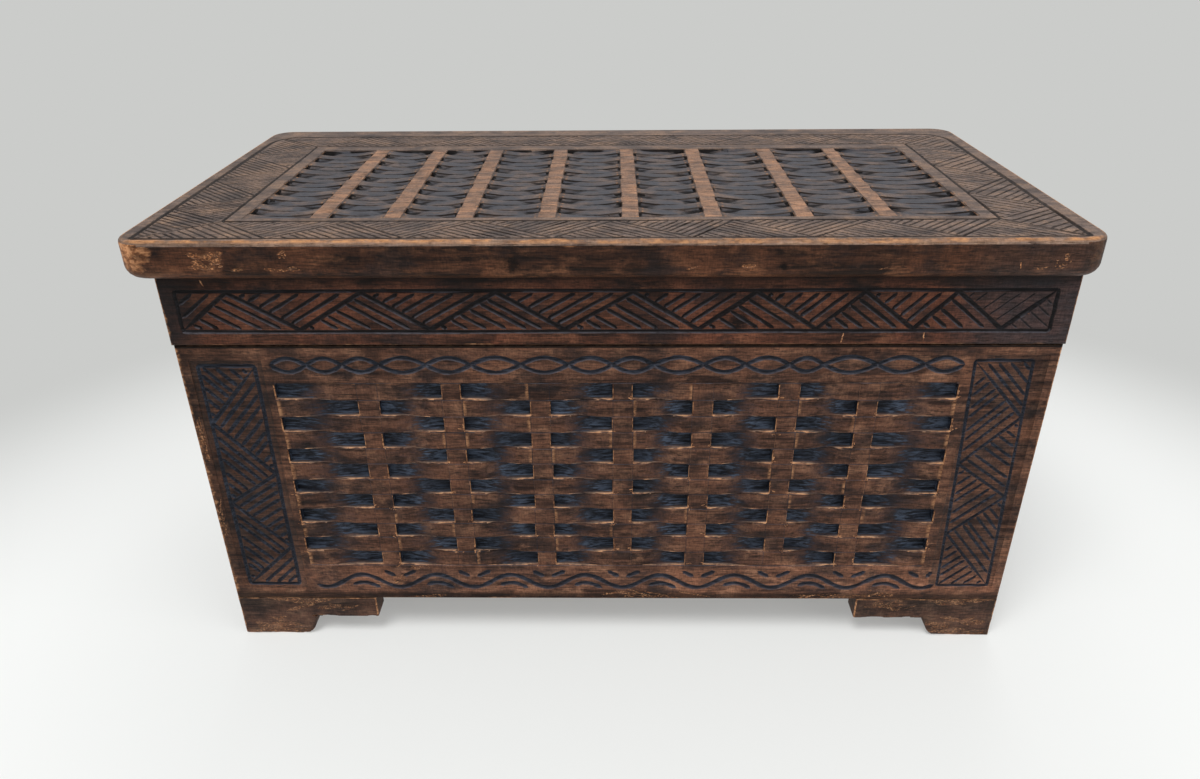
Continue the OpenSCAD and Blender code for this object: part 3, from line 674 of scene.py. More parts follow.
sideTurns = {"front": 0, "back": 180, "left": -90, "right": 90}
wallReach = {"front": halfWidth, "back": halfWidth, "left": halfDepth, "right": halfDepth}
wallSurface = {"front": halfDepth, "back": halfDepth, "left": halfWidth, "right": halfWidth}
railReach = {"front": railHalfWidth, "back": railHalfWidth, "left": railHalfDepth, "right": railHalfDepth}
railSurface = {"front": railHalfDepth, "back": railHalfDepth, "left": railHalfWidth, "right": railHalfWidth}
wallWood, railWood, footWood = {}, {}, {}
for side, turn in sideTurns.items():
    reach = wallReach[side]
    wallWood[side] = stainedWood("stainedWalnutWall_" + side, walnutLook, (-reach, reach, 0, wallTall),
                                 **turned("Z", -turn, wallSurface[side], -wallLow))
    reach = railReach[side]
    railWood[side] = stainedWood("stainedWalnutRail_" + side, railLook, (-reach, reach, 0, railTall),
                                 **turned("Z", -turn, railSurface[side], -railLow.z))
footEdges = (-halfWidth, halfWidth, 0, footHigh.z)
for side in ("front", "left"):
    footWood[side] = stainedWood("stainedWalnutFoot_" + side, footLook, footEdges,
                                 **turned("Z", -sideTurns[side], wallSurface[side], 0))
slabReach = slabHigh.x - slabMiddle
lidWood = stainedWood("rubbedWalnutLidPaintedLight", lidLook, (-slabReach, slabReach, slabLow.y, slabHigh.y),
                      **turned("X", 90, slabHigh.z, 0, slabMiddle))
slabWood = stainedWood("stainedWalnutLidEdge", slabLook, (-slabReach, slabReach, 0, slabHigh.z - slabLow.z),
                       **turned("Z", 0, -slabLow.y, -slabLow.z, slabMiddle))


def innerWood():
    # the same walnut planed and left bare inside: paler and matt, with stains about 60 mm wide and clear
    # fibres, drawn three times coarser than real ones so that they show
    material, add = newMaterial("planedBareWalnut")
    spot = add("TexCoord").outputs["Object"]
    grid = add("Mapping", spot, None, None, (1 / (60 * mm), 1 / (2.5 * mm), 1 / (2.5 * mm)))
    figure = add("TexNoise", {"Vector": grid, "Scale": 1, "Detail": 6, "Roughness": 0.65})
    stains = add("TexNoise", {"Vector": spot, "Scale": 1 / (60 * mm), "Detail": 4})
    shade = add("MapRange", figure, 0.35, 0.65)
    tone = add("MixRGB", shade, colour("#6d4f37"), colour("#8f6d4d"))
    darkening = add("MapRange", stains, 0.45, 0.7, 0, 0.6)
    tone = add("MixRGB", darkening, tone, colour("#4d382a"))
    bump = add("Bump", {"Strength": 0.5, "Distance": 0.15 * mm, "Height": figure})
    add("OutputMaterial", add("BsdfPrincipled", {"Base Color": tone, "Roughness": 0.68, "Normal": bump}))
    return material


def pegWood():
    # walnut sawn across its grain and stained with the rest: brown with dark mouths of pores 0.35 mm apart
    material, add = newMaterial("sawnWalnutEndGrain")
    spot = add("TexCoord").outputs["Object"]
    cells = add("TexVoronoi", {"Vector": spot, "Scale": 1 / (0.35 * mm)})
    cloud = add("TexNoise", {"Vector": spot, "Scale": 1 / (4 * mm), "Detail": 4})
    between = add("MapRange", cells.outputs["Distance"], 0.1, 0.35)
    tone = add("MixRGB", between, colour("#2f1f17"), colour("#6a4a35"))
    tone = add("MixRGB", cloud, tone, colour("#3c2a20"))
    bump = add("Bump", {"Strength": 0.4, "Distance": 0.06 * mm, "Height": between})
    add("OutputMaterial", add("BsdfPrincipled", {"Base Color": tone, "Roughness": 0.62, "Normal": bump}))
    return material


def oldMetal(name, base, tarnish, rough):
    # metal dulled by handling: a brown film in spots 3 mm wide, brighter and smoother where it is rubbed
    material, add = newMaterial(name)
    film = add("TexNoise", {"Vector": add("TexCoord").outputs["Object"], "Scale": 1 / (3 * mm), "Detail": 5})
    share = add("MapRange", film, 0.4, 0.62)
    tone = add("MixRGB", share, colour(base), colour(tarnish))
    dull = add("MapRange", share, 0, 1, rough, rough + 0.25)
    bump = add("Bump", {"Strength": 0.3, "Distance": 0.05 * mm, "Height": film})
    add("OutputMaterial", add("BsdfPrincipled", {"Base Color": tone, "Metallic": 1, "Roughness": dull,
                                                 "Normal": bump}))
    return material


bareWood = innerWood()
pegGrain = pegWood()
oldBrass = oldMetal("tarnishedRolledBrass", "#9a7c45", "#5a4527", 0.35)
dullSteel = oldMetal("dulledTurnedSteel", "#8b8680", "#4f4640", 0.38)
print("frame read, materials made")


def dress(piece, finishes, pick):
    # kinds of cut go into an attribute that the wood reads; pick gives a face its finish by place and normal
    cut = piece.data.attributes.new("cut", "FLOAT", "FACE")
    cut.data.foreach_set("value", [float(face.material_index) for face in piece.data.polygons])
    kinds = [face.material_index for face in piece.data.polygons]
    piece.data.materials.clear()
    for finish in finishes:
        piece.data.materials.append(finish)
    pickOnly(piece)
    bpy.ops.object.shade_smooth_by_angle(angle=smoothAngle)
    for face, kind in zip(piece.data.polygons, kinds):
        face.material_index = pick(face.center, face.normal)
        if kind == 0 and max(abs(c) for c in face.normal) > 0.9999:
            face.use_smooth = False


def finish(piece, nodes, slot, body):
    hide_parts(*nodes)
    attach(piece, body)
    print(piece.name, "done:", len(piece.data.polygons), "faces")


# Parts that several boards share

def facePlace(side, surface, low):
    # carries a carved face from its flat layout to its side of the trunk
    return (Matrix.Translation((bodyMiddle, 0, 0)) @ Matrix.Rotation(math.radians(sideTurns[side]), 4, "Z")
            @ Matrix.Translation((0, -surface, low)))


def boardBlank(name, reach, thick, tall, soft):
    piece = block(name, (-reach, 0, 0), (reach, thick, tall))
    roundEdges(piece, soft, 3, lambda a, b: a.y < past and b.y < past)
    return piece


def cornerCuts(reach, thick, tall):
    # rebates in the back of a long board that take the ends of the short ones
    low, high = (reach - thick, lip, -past), (reach + past, thick + past, tall + past)
    return [block("rebate", low, high),
            block("rebate", (-high[0], low[1], low[2]), (-low[0], high[1], high[2]))]


def insideFaces(side):
    # picks the second finish for the faces that look into the trunk
    inward = Matrix.Rotation(math.radians(sideTurns[side]), 4, "Z") @ Vector((0, 1, 0))
    return lambda centre, normal: int(normal.dot(inward) > facingCosine)


def edgeFlakes(reach, tall, look, seed):
    # flakes knocked off the outer edges of a board, most along its lower edge
    size, out = look["flake"], -0.25 * mm
    cutters = chips((-reach, out, out), (reach, out, out), look["lowFlakes"], size, seed)
    top = tall - out
    cutters += chips((-reach, out, top), (reach, out, top), look["highFlakes"], size, seed + 1)
    for side in (-1, 1):
        x = side * (reach - out)
        cutters += chips((x, out, 0), (x, out, tall), look["endFlakes"], size, seed + 3 + side)
    return cutters


def waveLine(marks, height, swing, sign):
    # a line that swings to and fro and crosses its middle height at each mark
    line = []
    for k, (a, b) in enumerate(zip(marks, marks[1:])):
        reach = sign * (-1) ** k * swing * min(1.2, 0.7 + 0.3 * (b - a) / (20 * mm))
        line += [(a + (b - a) * i / 10, height + reach * math.sin(math.pi * i / 10)) for i in range(10)]
    return line + [(marks[-1], height)]


# Body walls. Layouts are in mm: x and z from the face's lower middle, scars as x, z, width, height and number

frontLayout = {
    "weave": {"posts": (-123.9, -81.6, -37.7, 3.9, 43.7, 86.4, 125.8), "left": -169.7, "right": 169.4},
    "bands": (
        {"low": (-205.6, 10.5), "high": (-177.6, 147.5),
         "zigzag": ((-178.2, 146), (-205.2, 114.7), (-178, 84), (-205.2, 65.5), (-178, 36.4),
                    (-204.8, 11.1))},
        {"low": (178.4, 10.4), "high": (206.2, 150),
         "zigzag": ((178.8, 149), (206, 118.2), (178.8, 90.4), (206, 70), (179, 46), (205.8, 11)),
         "lean": (0.85, -3.45), "fine": 0.82}),
    "crossings": (-170, -152, -134.3, -116.1, -93, -70.9, -46.4, -22.9, -1.4, 19, 43.4, 63.8, 85.1, 101.6,
                  127.7, 150.9, 170),
    "lowWave": (-168, 178), "crest": -141.5,
    "scars": ((-108.4, 22.5, 10, 3.4, 7), (-121, 13, 7, 6, 8), (-106, 1.8, 16, 2, 7), (-212.4, 104, 3, 24, 8),
              (-212.7, 60, 2.4, 30, 6), (120, 2, 40, 2, 7), (20, 3, 50, 3, 6), (150, 4.6, 18, 5, 6)),
}
backLayout = dict(frontLayout, scars=((90, 3, 60, 3, 6), (-150, 2, 30, 3, 5)),
                  crossings=[-169 + 21.2 * i for i in range(17)])
endZigzag = ((80.4, 147), (96, 120.5), (80.4, 93), (96, 65.5), (80.4, 38), (96, 11))
endLayout = {
    "weave": {"posts": (-41.4, 0, 41.4), "left": -73, "right": 73},
    "bands": ({"low": (-96.5, 10.5), "high": (-80, 148), "zigzag": [(-x, z) for x, z in endZigzag]},
              {"low": (80, 10.5), "high": (96.5, 148), "zigzag": endZigzag}),
    "crossings": [-73 + 20.86 * i for i in range(8)],
    "lowWave": (-75, 75), "crest": -62.4, "scars": ((-40, 3, 30, 3, 6), (60, 5, 14, 4, 4)),
}
weaveLook = {"postWide": 10.2 * mm, "low": 24 * mm, "high": 137.8 * mm, "rows": 12, "deep": 3.8 * mm,
             "reach": 0.94, "rises": (0.9, 0.78, 1.1, 0.85), "least": 0.1 * mm, "sag": 0, "bow": 0.35 * mm,
             "valley": 0.3 * mm, "notch": 0.7 * mm, "ledge": 0.07, "chipped": 0.75}
bandLook = {
    "leans": (1, -1), "spacing": 4.6 * mm, "inset": 0.9 * mm,
    "zigzagWide": 2.7 * mm, "zigzagDeep": 1.3 * mm, "hatchWide": 2.5 * mm, "hatchDeep": 1.15 * mm,
    "frameWide": 2.5 * mm, "frameDeep": 1.3 * mm, "faintFrom": math.inf, "fainter": (0.6, 0.35),
    "washRound": (4, 3), "washBite": 0.12 * mm,
}
# arcDrop, arcStep, strokeFrom and strokeTo are in mm: how far the arcs hang below the wave and the distance
# of their points, then where the strokes over a trough start and end, to the side and up. The last three say
# how far before the wave's end the last of each stays
waveLook = {"high": 147.8 * mm, "swing": 3.9 * mm, "wide": 2.6 * mm, "deep": 1 * mm,
            "low": 12.7 * mm, "period": 41.6 * mm, "lowSwing": 4.4 * mm, "lowWide": 3.1 * mm,
            "lowDeep": 1 * mm, "thin": 2.9 * mm, "thinDeep": 1 * mm, "arcDrop": 5.6, "arcStep": 1.6,
            "strokeFrom": (1.8, 3.2), "strokeTo": ((8.5, 7.3), (10, 7.3)), "lastArc": 8 * mm,
            "lastTrough": 2 * mm, "lastStroke": 2.5 * mm}
wallEdges = {"soft": 0.9 * mm, "endSoft": 0.35 * mm, "flake": 0.75 * mm, "lowFlakes": 34, "highFlakes": 16,
             "endFlakes": 18}


# shares of a group's width and height, then mm and radians
scarLook = {"wide": (0.06, 0.26), "tall": (0.06, 0.24), "deep": (0.25, 0.45), "sunk": 0.1, "tilt": 0.4}


def scarCutters(scars, seed):
    # little flat places where the surface has flaked off: middle, width, height and number of each group
    dice = random.Random(seed)
    bpy.ops.mesh.primitive_ico_sphere_add(subdivisions=2, radius=1)
    master = bpy.context.object
    cutters = []
    for x, z, wide, tall, count in scars:
        for _ in range(2 * count):
            middle = Vector((x + dice.uniform(-0.5, 0.5) * wide, -scarLook["sunk"],
                             z + dice.uniform(-0.5, 0.5) * tall)) * mm
            size = [dice.uniform(*scarLook["wide"]) * wide * mm, dice.uniform(*scarLook["deep"]) * mm,
                    dice.uniform(*scarLook["tall"]) * tall * mm]
            tilt = Matrix.Rotation(dice.uniform(-scarLook["tilt"], scarLook["tilt"]), 4, "Y")
            cutters.append(copyOf(master, Matrix.Translation(middle) @ tilt @ Matrix.Diagonal((*size, 1))))
    discard([master])
    return cutters


def scratches(lines):
    # thin bright scratches from point to point
    return [grooves([handLine(fromMm(line[:2]), fromMm(line[2:]), 0.15 * mm, 3)], 0.55 * mm, 0.12 * mm)
            for line in lines]


def bandWash(band):
    # the stain lies unevenly in a band and a few mm round it, where the surface was scraped level
    (x0, z0), (x1, z1) = band["low"], band["high"]
    wide, tall = bandLook["washRound"]
    return block("wash", ((x0 - wide) * mm, -past, (z0 - tall) * mm),
                 ((x1 + wide) * mm, bandLook["washBite"], (z1 + tall) * mm))


def bandCutters(band, look):
    (x0, z0), (x1, z1) = band["low"], band["high"]
    zigzag = band["zigzag"]
    middle, fine = (x0 + x1) / 2, band.get("fine", 1)
    look = dict(look, **{key: fine * look[key] for key in look if key.endswith(("Wide", "Deep"))})
    startX = x0 if zigzag[0][0] > middle else x1
    endX = x0 if zigzag[-1][0] > middle else x1
    cutters = frameLines(fromMm(band["low"]), fromMm(band["high"]), look)
    corners = [fromMm(corner) for corner in zigzag]
    cutters += hatchedBand(corners, fromMm((startX, z1)), fromMm((endX, z0)), look)
    low, high = band.get("lean", (0, 0))         # how far its lower and upper end stand to the right
    for cutter in cutters:
        for point in cutter.data.vertices:
            point.co.x += (low + (high - low) * (point.co.z / mm - z0) / (z1 - z0)) * mm
    return cutters


def waveCutters(layout, look):
    # two crossing waves above the weave; below it a wave, arcs under its crests, two strokes over each trough
    marks = [x * mm for x in layout["crossings"]]
    cutters = [grooves([waveLine(marks, look["high"], look["swing"], sign)], look["wide"], look["deep"])
               for sign in (1, -1)]
    start, end = (x * mm for x in layout["lowWave"])
    crest, period, swing = layout["crest"] * mm, look["period"], look["lowSwing"]

    def wave(x):
        return swing * math.cos(2 * math.pi * (x - crest) / period)

    steps = round((end - start) / (2 * mm))
    xs = [start + (end - start) * i / steps for i in range(steps + 1)]
    cutters.append(grooves([[(x, look["low"] + wave(x)) for x in xs]], look["lowWide"], look["lowDeep"]))
    under, over = [], []
    middle = crest
    step, drop = look["arcStep"], look["arcDrop"]
    out, up = look["strokeFrom"]
    while middle < end - look["lastArc"]:
        arc = [middle + s * step * mm for s in range(-4, 7)]
        under.append([(x, look["low"] - drop * mm + wave(x)) for x in arc])
        trough = middle + period / 2
        if trough < end - look["lastTrough"]:
            for side, (reach, rise) in zip((-1, 1), look["strokeTo"]):
                tip = min(trough + side * reach * mm, end - look["lastStroke"])
                over.append(handLine((trough + side * out * mm, look["low"] + up * mm),
                                     (tip, look["low"] + rise * mm)))
        middle += period
    cutters += [grooves(lines, look["thin"], look["thinDeep"], thin=0.1) for lines in (under, over)]
    return cutters


def carveWall(piece, layout, reach, seed):
    cutAway(piece, [bandWash(band) for band in layout["bands"]], "wash")
    weave = {key: [x * mm for x in value] if key == "posts" else value * mm
             for key, value in layout["weave"].items()}
    pockets, scribed, spots = weaveCutters(dict(weaveLook, **weave))
    cutAway(piece, pockets, "pocket")
    cuts = scribed + waveCutters(layout, waveLook)
    for band in layout["bands"]:
        cuts += bandCutters(band, bandLook)
    cutAway(piece, cuts, "groove")
    cutAway(piece, edgeFlakes(reach, wallTall, wallEdges, seed) + scarCutters(spots, seed), "flake")
    cutAway(piece, scarCutters(layout["scars"], seed), "scar")


floorPlay = 0.3 * mm         # room for the bottom board to move in its groove
hingeLook = {"leafThick": 1.2 * mm, "gap": 0.1 * mm, "knuckleGap": 0.25 * mm, "stopAngle": 53}


def hingeRoom(side):
    # room in the back board for side -1, in the back rail for side 1: leaves, knuckles and the stop bevel
    seam = frontHigh.z if side < 0 else railLow.z
    cutters = []
    for hand in ("left", "right"):
        low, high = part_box(hand + ("_hinge_body_leaf" if side < 0 else "_hinge_lid_leaf"))
        pinStart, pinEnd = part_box(hand + "_hinge_pin")
        x0, x1 = pinStart.x - hingeLook["gap"], pinEnd.x + hingeLook["gap"]
        z0, z1 = sorted((seam + side * hingeLook["leafThick"], seam - side * past))
        cutters.append(block("leafSeat", (x0, low.y - hingeLook["gap"], z0), (x1, railHalfDepth + past, z1)))
        radius = (seat - low.z) if side < 0 else (high.z - seat)
        cutters.append(rod("knuckleSeat", (x0 + (x1 - x0) / 2, pinBack, seat), x1 - x0,
                           radius + hingeLook["knuckleGap"], (0, math.pi / 2, 0)))
    reach = railHalfDepth + past - pinBack
    rise = reach * math.tan(math.radians(hingeLook["stopAngle"]))
    z0, z1 = sorted((seat, seat - side * 2 * (seat - frontHigh.z)))
    x0, x1 = bodyMiddle - railHalfWidth - past, bodyMiddle + railHalfWidth + past
    bevel = block("stopBevel", (x0, pinBack, z0), (x1, pinBack + reach, z1))
    for point in bevel.data.vertices:
        if abs(point.co.z - seat) < hair and point.co.y > pinBack + reach / 2:
            point.co.z += side * rise
    return cutters + [bevel]


def makeWall(name, node, side, layout, seed):
    long = side in ("front", "back")
    reach = halfWidth if long else leftEndHigh.y
    piece = boardBlank(name, reach, wallThick, wallTall, wallEdges["soft" if long else "endSoft"])
    # how deep in the wall the bottom board's edge lies, and how far its groove runs to each side
    inner = halfDepth + floorLow.y if long else halfWidth + floorLow.x - bodyMiddle
    run = (halfWidth - wallThick if long else reach) + past
    floorSlot = block("floorSlot", (-run, inner - floorPlay, floorLow.z - wallLow),
                      (run, wallThick + past, floorHigh.z - wallLow))
    if long:
        cutAway(piece, cornerCuts(halfWidth, wallThick, wallTall) + [floorSlot])
    carveWall(piece, layout, reach, seed)
    if not long:
        cutAway(piece, [floorSlot])
    settle(piece, facePlace(side, wallSurface[side], wallLow))
    holes = holesOf("corner_pegs", "foot_dowels")
    if side == "back":
        cutAway(piece, hingeRoom(-1), "wash")
        holes += holesOf("hinge_body_screws")
    cutAway(piece, holes)
    dress(piece, (wallWood[side], bareWood), insideFaces(side))
    finish(piece, [node], "carved_wood", "trunk")


makeWall("carvedFront", "front_board", "front", frontLayout, 11)
makeWall("carvedBack", "back_board", "back", backLayout, 21)
makeWall("carvedLeftEnd", "left_end_board", "left", endLayout, 31)
makeWall("carvedRightEnd", "right_end_board", "right", endLayout, 41)

# Lid rails

frontRailLayout = {
    "low": (-208, 7.3), "high": (206, 28.2),
    "zigzag": ((-207.4, 8.3), (-183.6, 27.4), (-151.2, 8.3), (-119.7, 27.4), (-88.6, 8.3), (-56.2, 27.4),
               (-24.3, 8.3), (8.5, 27.4), (39.6, 8.3), (66.3, 27.4), (95.6, 8.3), (116.9, 27.4),
               (141.5, 8.3), (160, 27.4), (183, 8.3), (204.7, 27.4)),
    "scratches": ((108.9, 6.4, 108.3, 1.2), (147, 6.6, 147.4, 2), (-194.4, 34, -193.2, 30.6),
                  (192, 17.4, 195, 15.8)),
}
backRailLayout = dict(frontRailLayout, scratches=((-60, 5, -58, 2),),
                      zigzag=[(-207.4 + 27.5 * i, 27.4 if i % 2 else 8.3) for i in range(16)])
endRailLayout = {"low": (-97, 7.3), "high": (97, 28.2),
                 "zigzag": [(-96.6 + 27.6 * i, 27.4 if i % 2 else 8.3) for i in range(8)],
                 "scratches": ((30, 6, 31, 1),)}
railBandLook = dict(bandLook, leans=(-1, 1), spacing=4.9 * mm, hatchWide=2.2 * mm, hatchDeep=1.15 * mm,
                    frameWide=2.2 * mm, frameDeep=1.1 * mm, faintFrom=165 * mm)
railEdges = {"soft": 0.8 * mm, "endSoft": 0.35 * mm, "flake": 0.5 * mm, "lowFlakes": 22, "highFlakes": 2,
             "endFlakes": 6}


def makeRail(name, node, side, layout, seed):
    long = side in ("front", "back")
    reach = railHalfWidth if long else leftRailHigh.y
    piece = boardBlank(name, reach, railThick, railTall, railEdges["soft" if long else "endSoft"])
    if long:
        cutAway(piece, cornerCuts(railHalfWidth, railThick, railTall))
    (x0, z0), (x1, z1) = layout["low"], layout["high"]
    zigzag = layout["zigzag"]
    endZ = z0 if zigzag[-1][1] > (z0 + z1) / 2 else z1
    cuts = frameLines(fromMm(layout["low"]), fromMm(layout["high"]), railBandLook)
    corners = [fromMm(corner) for corner in zigzag]
    cuts += hatchedBand(corners, fromMm((x0, z1)), fromMm((x1, endZ)), railBandLook)
    cutAway(piece, cuts, "groove")
    cutAway(piece, edgeFlakes(reach, railTall, railEdges, seed) + scratches(layout["scratches"]), "flake")
    settle(piece, facePlace(side, railSurface[side], railLow.z))
    holes = holesOf("lid_pegs", "lid_dowels")
    if side == "back":
        cutAway(piece, hingeRoom(1), "wash")
        holes += holesOf("hinge_lid_screws")
    cutAway(piece, holes)
    dress(piece, (railWood[side], bareWood), insideFaces(side))
    finish(piece, [node], "rail_wood", "lid")


makeRail("frontRail", "lid_front_rail", "front", frontRailLayout, 51)
makeRail("backRail", "lid_back_rail", "back", backRailLayout, 61)
makeRail("leftRail", "lid_left_rail", "left", endRailLayout, 71)
makeRail("rightRail", "lid_right_rail", "right", endRailLayout, 81)

# Lid top

lidLayout = {
    "outer": ((-217, -111.1), (215, 97.2)), "inner": ((-184.5, -85.7), (184.5, 70.1)),
    "frontZigzag": (-184.5, -155, -124, -92, -62.6, -25.3, 2.8, 37.9, 59, 92.4, 124.5, 157.8, 184.5),
    "endZigzag": (-85.7, -64.6, -40.8, -10.9, 16.2, 44, 70.1),
}
lidWeaveLook = {
    "posts": [x * mm for x in (-140, -104.5, -69.5, -29.8, 10.4, 50.2, 93.9, 133.8)], "postWide": 8.5 * mm,
    "left": -176.5 * mm, "right": 176.5 * mm, "low": -80.6 * mm, "high": 59.4 * mm, "rows": 16,
    "deep": 3.4 * mm, "reach": 0.8, "rises": (0.85, 0.75, 0.95, 0.8), "least": 0.3 * mm, "sag": 1.5 * mm,
    "bow": -0.3 * mm, "valley": 0.65 * mm, "notch": 0.35 * mm, "ledge": 0, "chipped": 0.3,
    "rubbed": 0.1 * mm,
}
lidBandLook = dict(bandLook, spacing=3.4 * mm, inset=0.7 * mm, hatchWide=1.4 * mm, hatchDeep=0.65 * mm,
                   zigzagWide=1.7 * mm, zigzagDeep=0.8 * mm, frameWide=2 * mm, frameDeep=1.1 * mm,
                   bend=17 * mm, outerWide=2.7 * mm, outerDeep=1.4 * mm,
                   leftSpacing=3.1 * mm, rightSpacing=4.3 * mm)
# the slab's rounded edges, then sizes and numbers of its flakes and of the hollows that handling has worn
slabEdges = {"corner": 13 * mm, "top": 2.2 * mm, "under": 6 * mm, "flake": 0.7 * mm, "longFlakes": 26,
             "endFlakes": 13, "hollow": 2.7 * mm, "hollowOut": 0.9 * mm, "highHollows": 12, "lowHollows": 8,
             "endHollows": 7}
slabSeeds = {"weave": 75, "scars": 77, "longFlakes": 91, "endFlakes": 97, "highHollows": 111,
             "lowHollows": 115, "endHollows": 117}
slabScars = ((-181, 10.2, 14, 7, 14), (-167.8, 4.9, 8, 3, 7), (-147.8, 5.4, 12, 4, 10), (-148, 13, 6, 3, 4),
             (61.4, 5.6, 9, 5, 5), (188, 3.4, 36, 2.4, 9), (203, 9, 7, 6, 4), (10, 2.5, 60, 3, 6),
             (120, 2.5, 50, 2.5, 6))
slabScratches = ((184, 8.5, 184.8, 3), (186, 5, 190, 3), (-20, 4, -19, 2), (150, 3.5, 150.6, 1.5))


def outerLine(low, high, bend):
    # the outer line up the left side, round the back corners and down the right side
    (x0, z0), (x1, z1) = low, high
    turns = [i * math.pi / 16 for i in range(9)]
    line = handLine((x0, z0 - frameOver), (x0, z1 - bend), frameWander, 5)[:-1]
    line += [(x0 + bend - bend * math.cos(a), z1 - bend + bend * math.sin(a)) for a in turns]
    line += handLine((x0 + bend, z1), (x1 - bend, z1), frameWander, 9)[1:-1]
    line += [(x1 - bend + bend * math.sin(a), z1 - bend + bend * math.cos(a)) for a in turns]
    return line + handLine((x1, z1 - bend), (x1, z0 - frameOver), frameWander, 5)[1:]


def lidBorder(layout, look):
    # frames round the weave and along the slab's edge; between them four hatched zigzags that meet at mitres
    low, high = (fromMm(corner) for corner in layout["outer"])
    (ox0, oy0), (ox1, oy1) = low, high
    (ix0, iy0), (ix1, iy1) = (fromMm(corner) for corner in layout["inner"])
    zigzagSize, frameSize, outerSize = ((look[part + "Wide"], look[part + "Deep"])
                                        for part in ("zigzag", "frame", "outer"))
    cutters = frameLines((ix0, iy0), (ix1, iy1), look)
    cutters.append(grooves([outerLine(low, high, look["bend"])], *outerSize))
    cutters.append(grooves([handLine((ox0, oy0), (ox1, oy0), frameWander, 9)], *frameSize))
    cornerIn = 0.3 * look["bend"]
    front = ((ox0, oy0), (ox1, oy0))
    back = ((ox0 + cornerIn, oy1 - cornerIn), (ox1 - cornerIn, oy1 - cornerIn))
    for inner, outer in zip(((ix0, iy0), (ix1, iy0), (ix0, iy1), (ix1, iy1)), front + back):
        cutters.append(grooves([handLine(inner, outer)], *zigzagSize))
    for inner, outer, ends, leans in ((iy0, oy0, front, (1, -1)), (iy1, oy1, back, (-1, 1))):
        line = [(x * mm, outer if i % 2 else inner) for i, x in enumerate(layout["frontZigzag"])]
        cutters += hatchedBand(line, ends[0], ends[1], dict(look, leans=leans))
    for inner, outer, end, leans, spacing in ((ix0, ox0, 0, (1, -1), look["leftSpacing"]),
                                              (ix1, ox1, 1, (-1, 1), look["rightSpacing"])):
        line = [(outer if i % 2 else inner, y * mm) for i, y in enumerate(layout["endZigzag"])]
        cutters += hatchedBand(line, front[end], back[end], dict(look, leans=leans, spacing=spacing))
    return cutters


def makeLidTop():
    # laid out like the other faces: x across, y down into the slab, z towards the back
    thick = slabHigh.z - slabLow.z
    reach, deep = slabReach, slabHigh.y
    piece = block("carvedLidTop", (-reach, 0, -deep), (reach, thick, deep))
    roundEdges(piece, slabEdges["corner"], 8,
               lambda a, b: abs(a.x - b.x) < past and abs(a.z - b.z) < past)
    roundEdges(piece, slabEdges["top"], 4, lambda a, b: a.y < past and b.y < past)
    roundEdges(piece, slabEdges["under"], 5, lambda a, b: a.y > thick - past and b.y > thick - past)
    half, low, high = lidWeaveLook["postWide"] / 2, lidWeaveLook["low"], lidWeaveLook["high"]
    cutAway(piece, [block("rubbedPost", (x - half, -past, low), (x + half, lidWeaveLook["rubbed"], high))
                    for x in lidWeaveLook["posts"]], "wash")
    pockets, scribed, spots = weaveCutters(lidWeaveLook)
    cutAway(piece, pockets, "pocket")
    cutAway(piece, scribed + lidBorder(lidLayout, lidBandLook), "groove")

    def worn(kind, size, low, high):
        # one kind of wear along an edge, with the next seed at the back and the right
        seed = slabSeeds[kind] + int(max(low[0], low[2]) > 0)
        return chips(low, high, slabEdges[kind], size, seed)

    size, dips = slabEdges["flake"], scarCutters(spots, slabSeeds["weave"])
    for z in (-deep, deep):
        dips += worn("longFlakes", size, (-reach, 0, z), (reach, 0, z))
    for x in (-reach, reach):
        dips += worn("endFlakes", size, (x, 0, -deep), (x, 0, deep))
    cutAway(piece, dips, "flake")
    # shallow hollows that handling has worn into the upper and lower edges
    size, out, hollows = slabEdges["hollow"], slabEdges["hollowOut"], []
    for z in (-deep - out, deep + out):
        for y, kind in ((-out, "highHollows"), (thick - out, "lowHollows")):
            hollows += worn(kind, size, (-reach, y, z), (reach, y, z))
    for x in (-reach - out, reach + out):
        hollows += worn("endHollows", size, (x, -out, -deep), (x, -out, deep))
    cutAway(piece, hollows)
    # turned to lie flat, the front edge is a face of its own with scars
    settle(piece, Matrix.Translation((0, deep, thick)) @ Matrix.Rotation(math.radians(-90), 4, "X"))
    cutAway(piece, scratches(slabScratches), "flake")
    cutAway(piece, scarCutters(slabScars, slabSeeds["scars"]), "scar")
    settle(piece, Matrix.Translation((slabMiddle, -deep, slabLow.z)))
    cutAway(piece, holesOf("lid_dowels"))
    top = slabHigh.z - slabEdges["top"] * 0.8
    edgeX, edgeY = reach - slabEdges["corner"], deep - slabEdges["corner"]

    def pick(centre, normal):
        # the underside is bare, the rounded sides are worn more than the top
        if normal.z < -facingCosine:
            return 2
        atEdge = abs(centre.x - slabMiddle) > edgeX or abs(centre.y) > edgeY
        return int(normal.z < 0.5 and centre.z < top and atEdge)

    dress(piece, (lidWood, slabWood, bareWood), pick)
    finish(piece, ["lid_top"], "lid_wood", "lid")


makeLidTop()

# Feet

footShape = {"long": footHigh.x - footLow.x, "pad": {"left": 42 * mm, "right": 37.5 * mm},
             "endLong": endFootHigh.y - endFootLow.y, "endPad": 24 * mm, "cove": 3 * mm, "heel": 9 * mm,
             "soft": 0.8 * mm, "flake": 1 * mm, "bite": 0.35 * mm}
# how many flakes come off the pad's lower edge, the strip's, the outer corner and the step
footFlakes = {"long": (14, 7, 5, 5), "end": (8, 7, 0, 5)}
footScars = {"long": ((20, 7, 30, 11, 6), (20, 2, 36, 3.5, 5), (38, 25, 60, 12, 4), (52, 20, 24, 2.5, 3)),
             "end": ((12, 7, 20, 11, 4), (12, 2, 20, 3, 3), (26, 24, 34, 10, 3))}


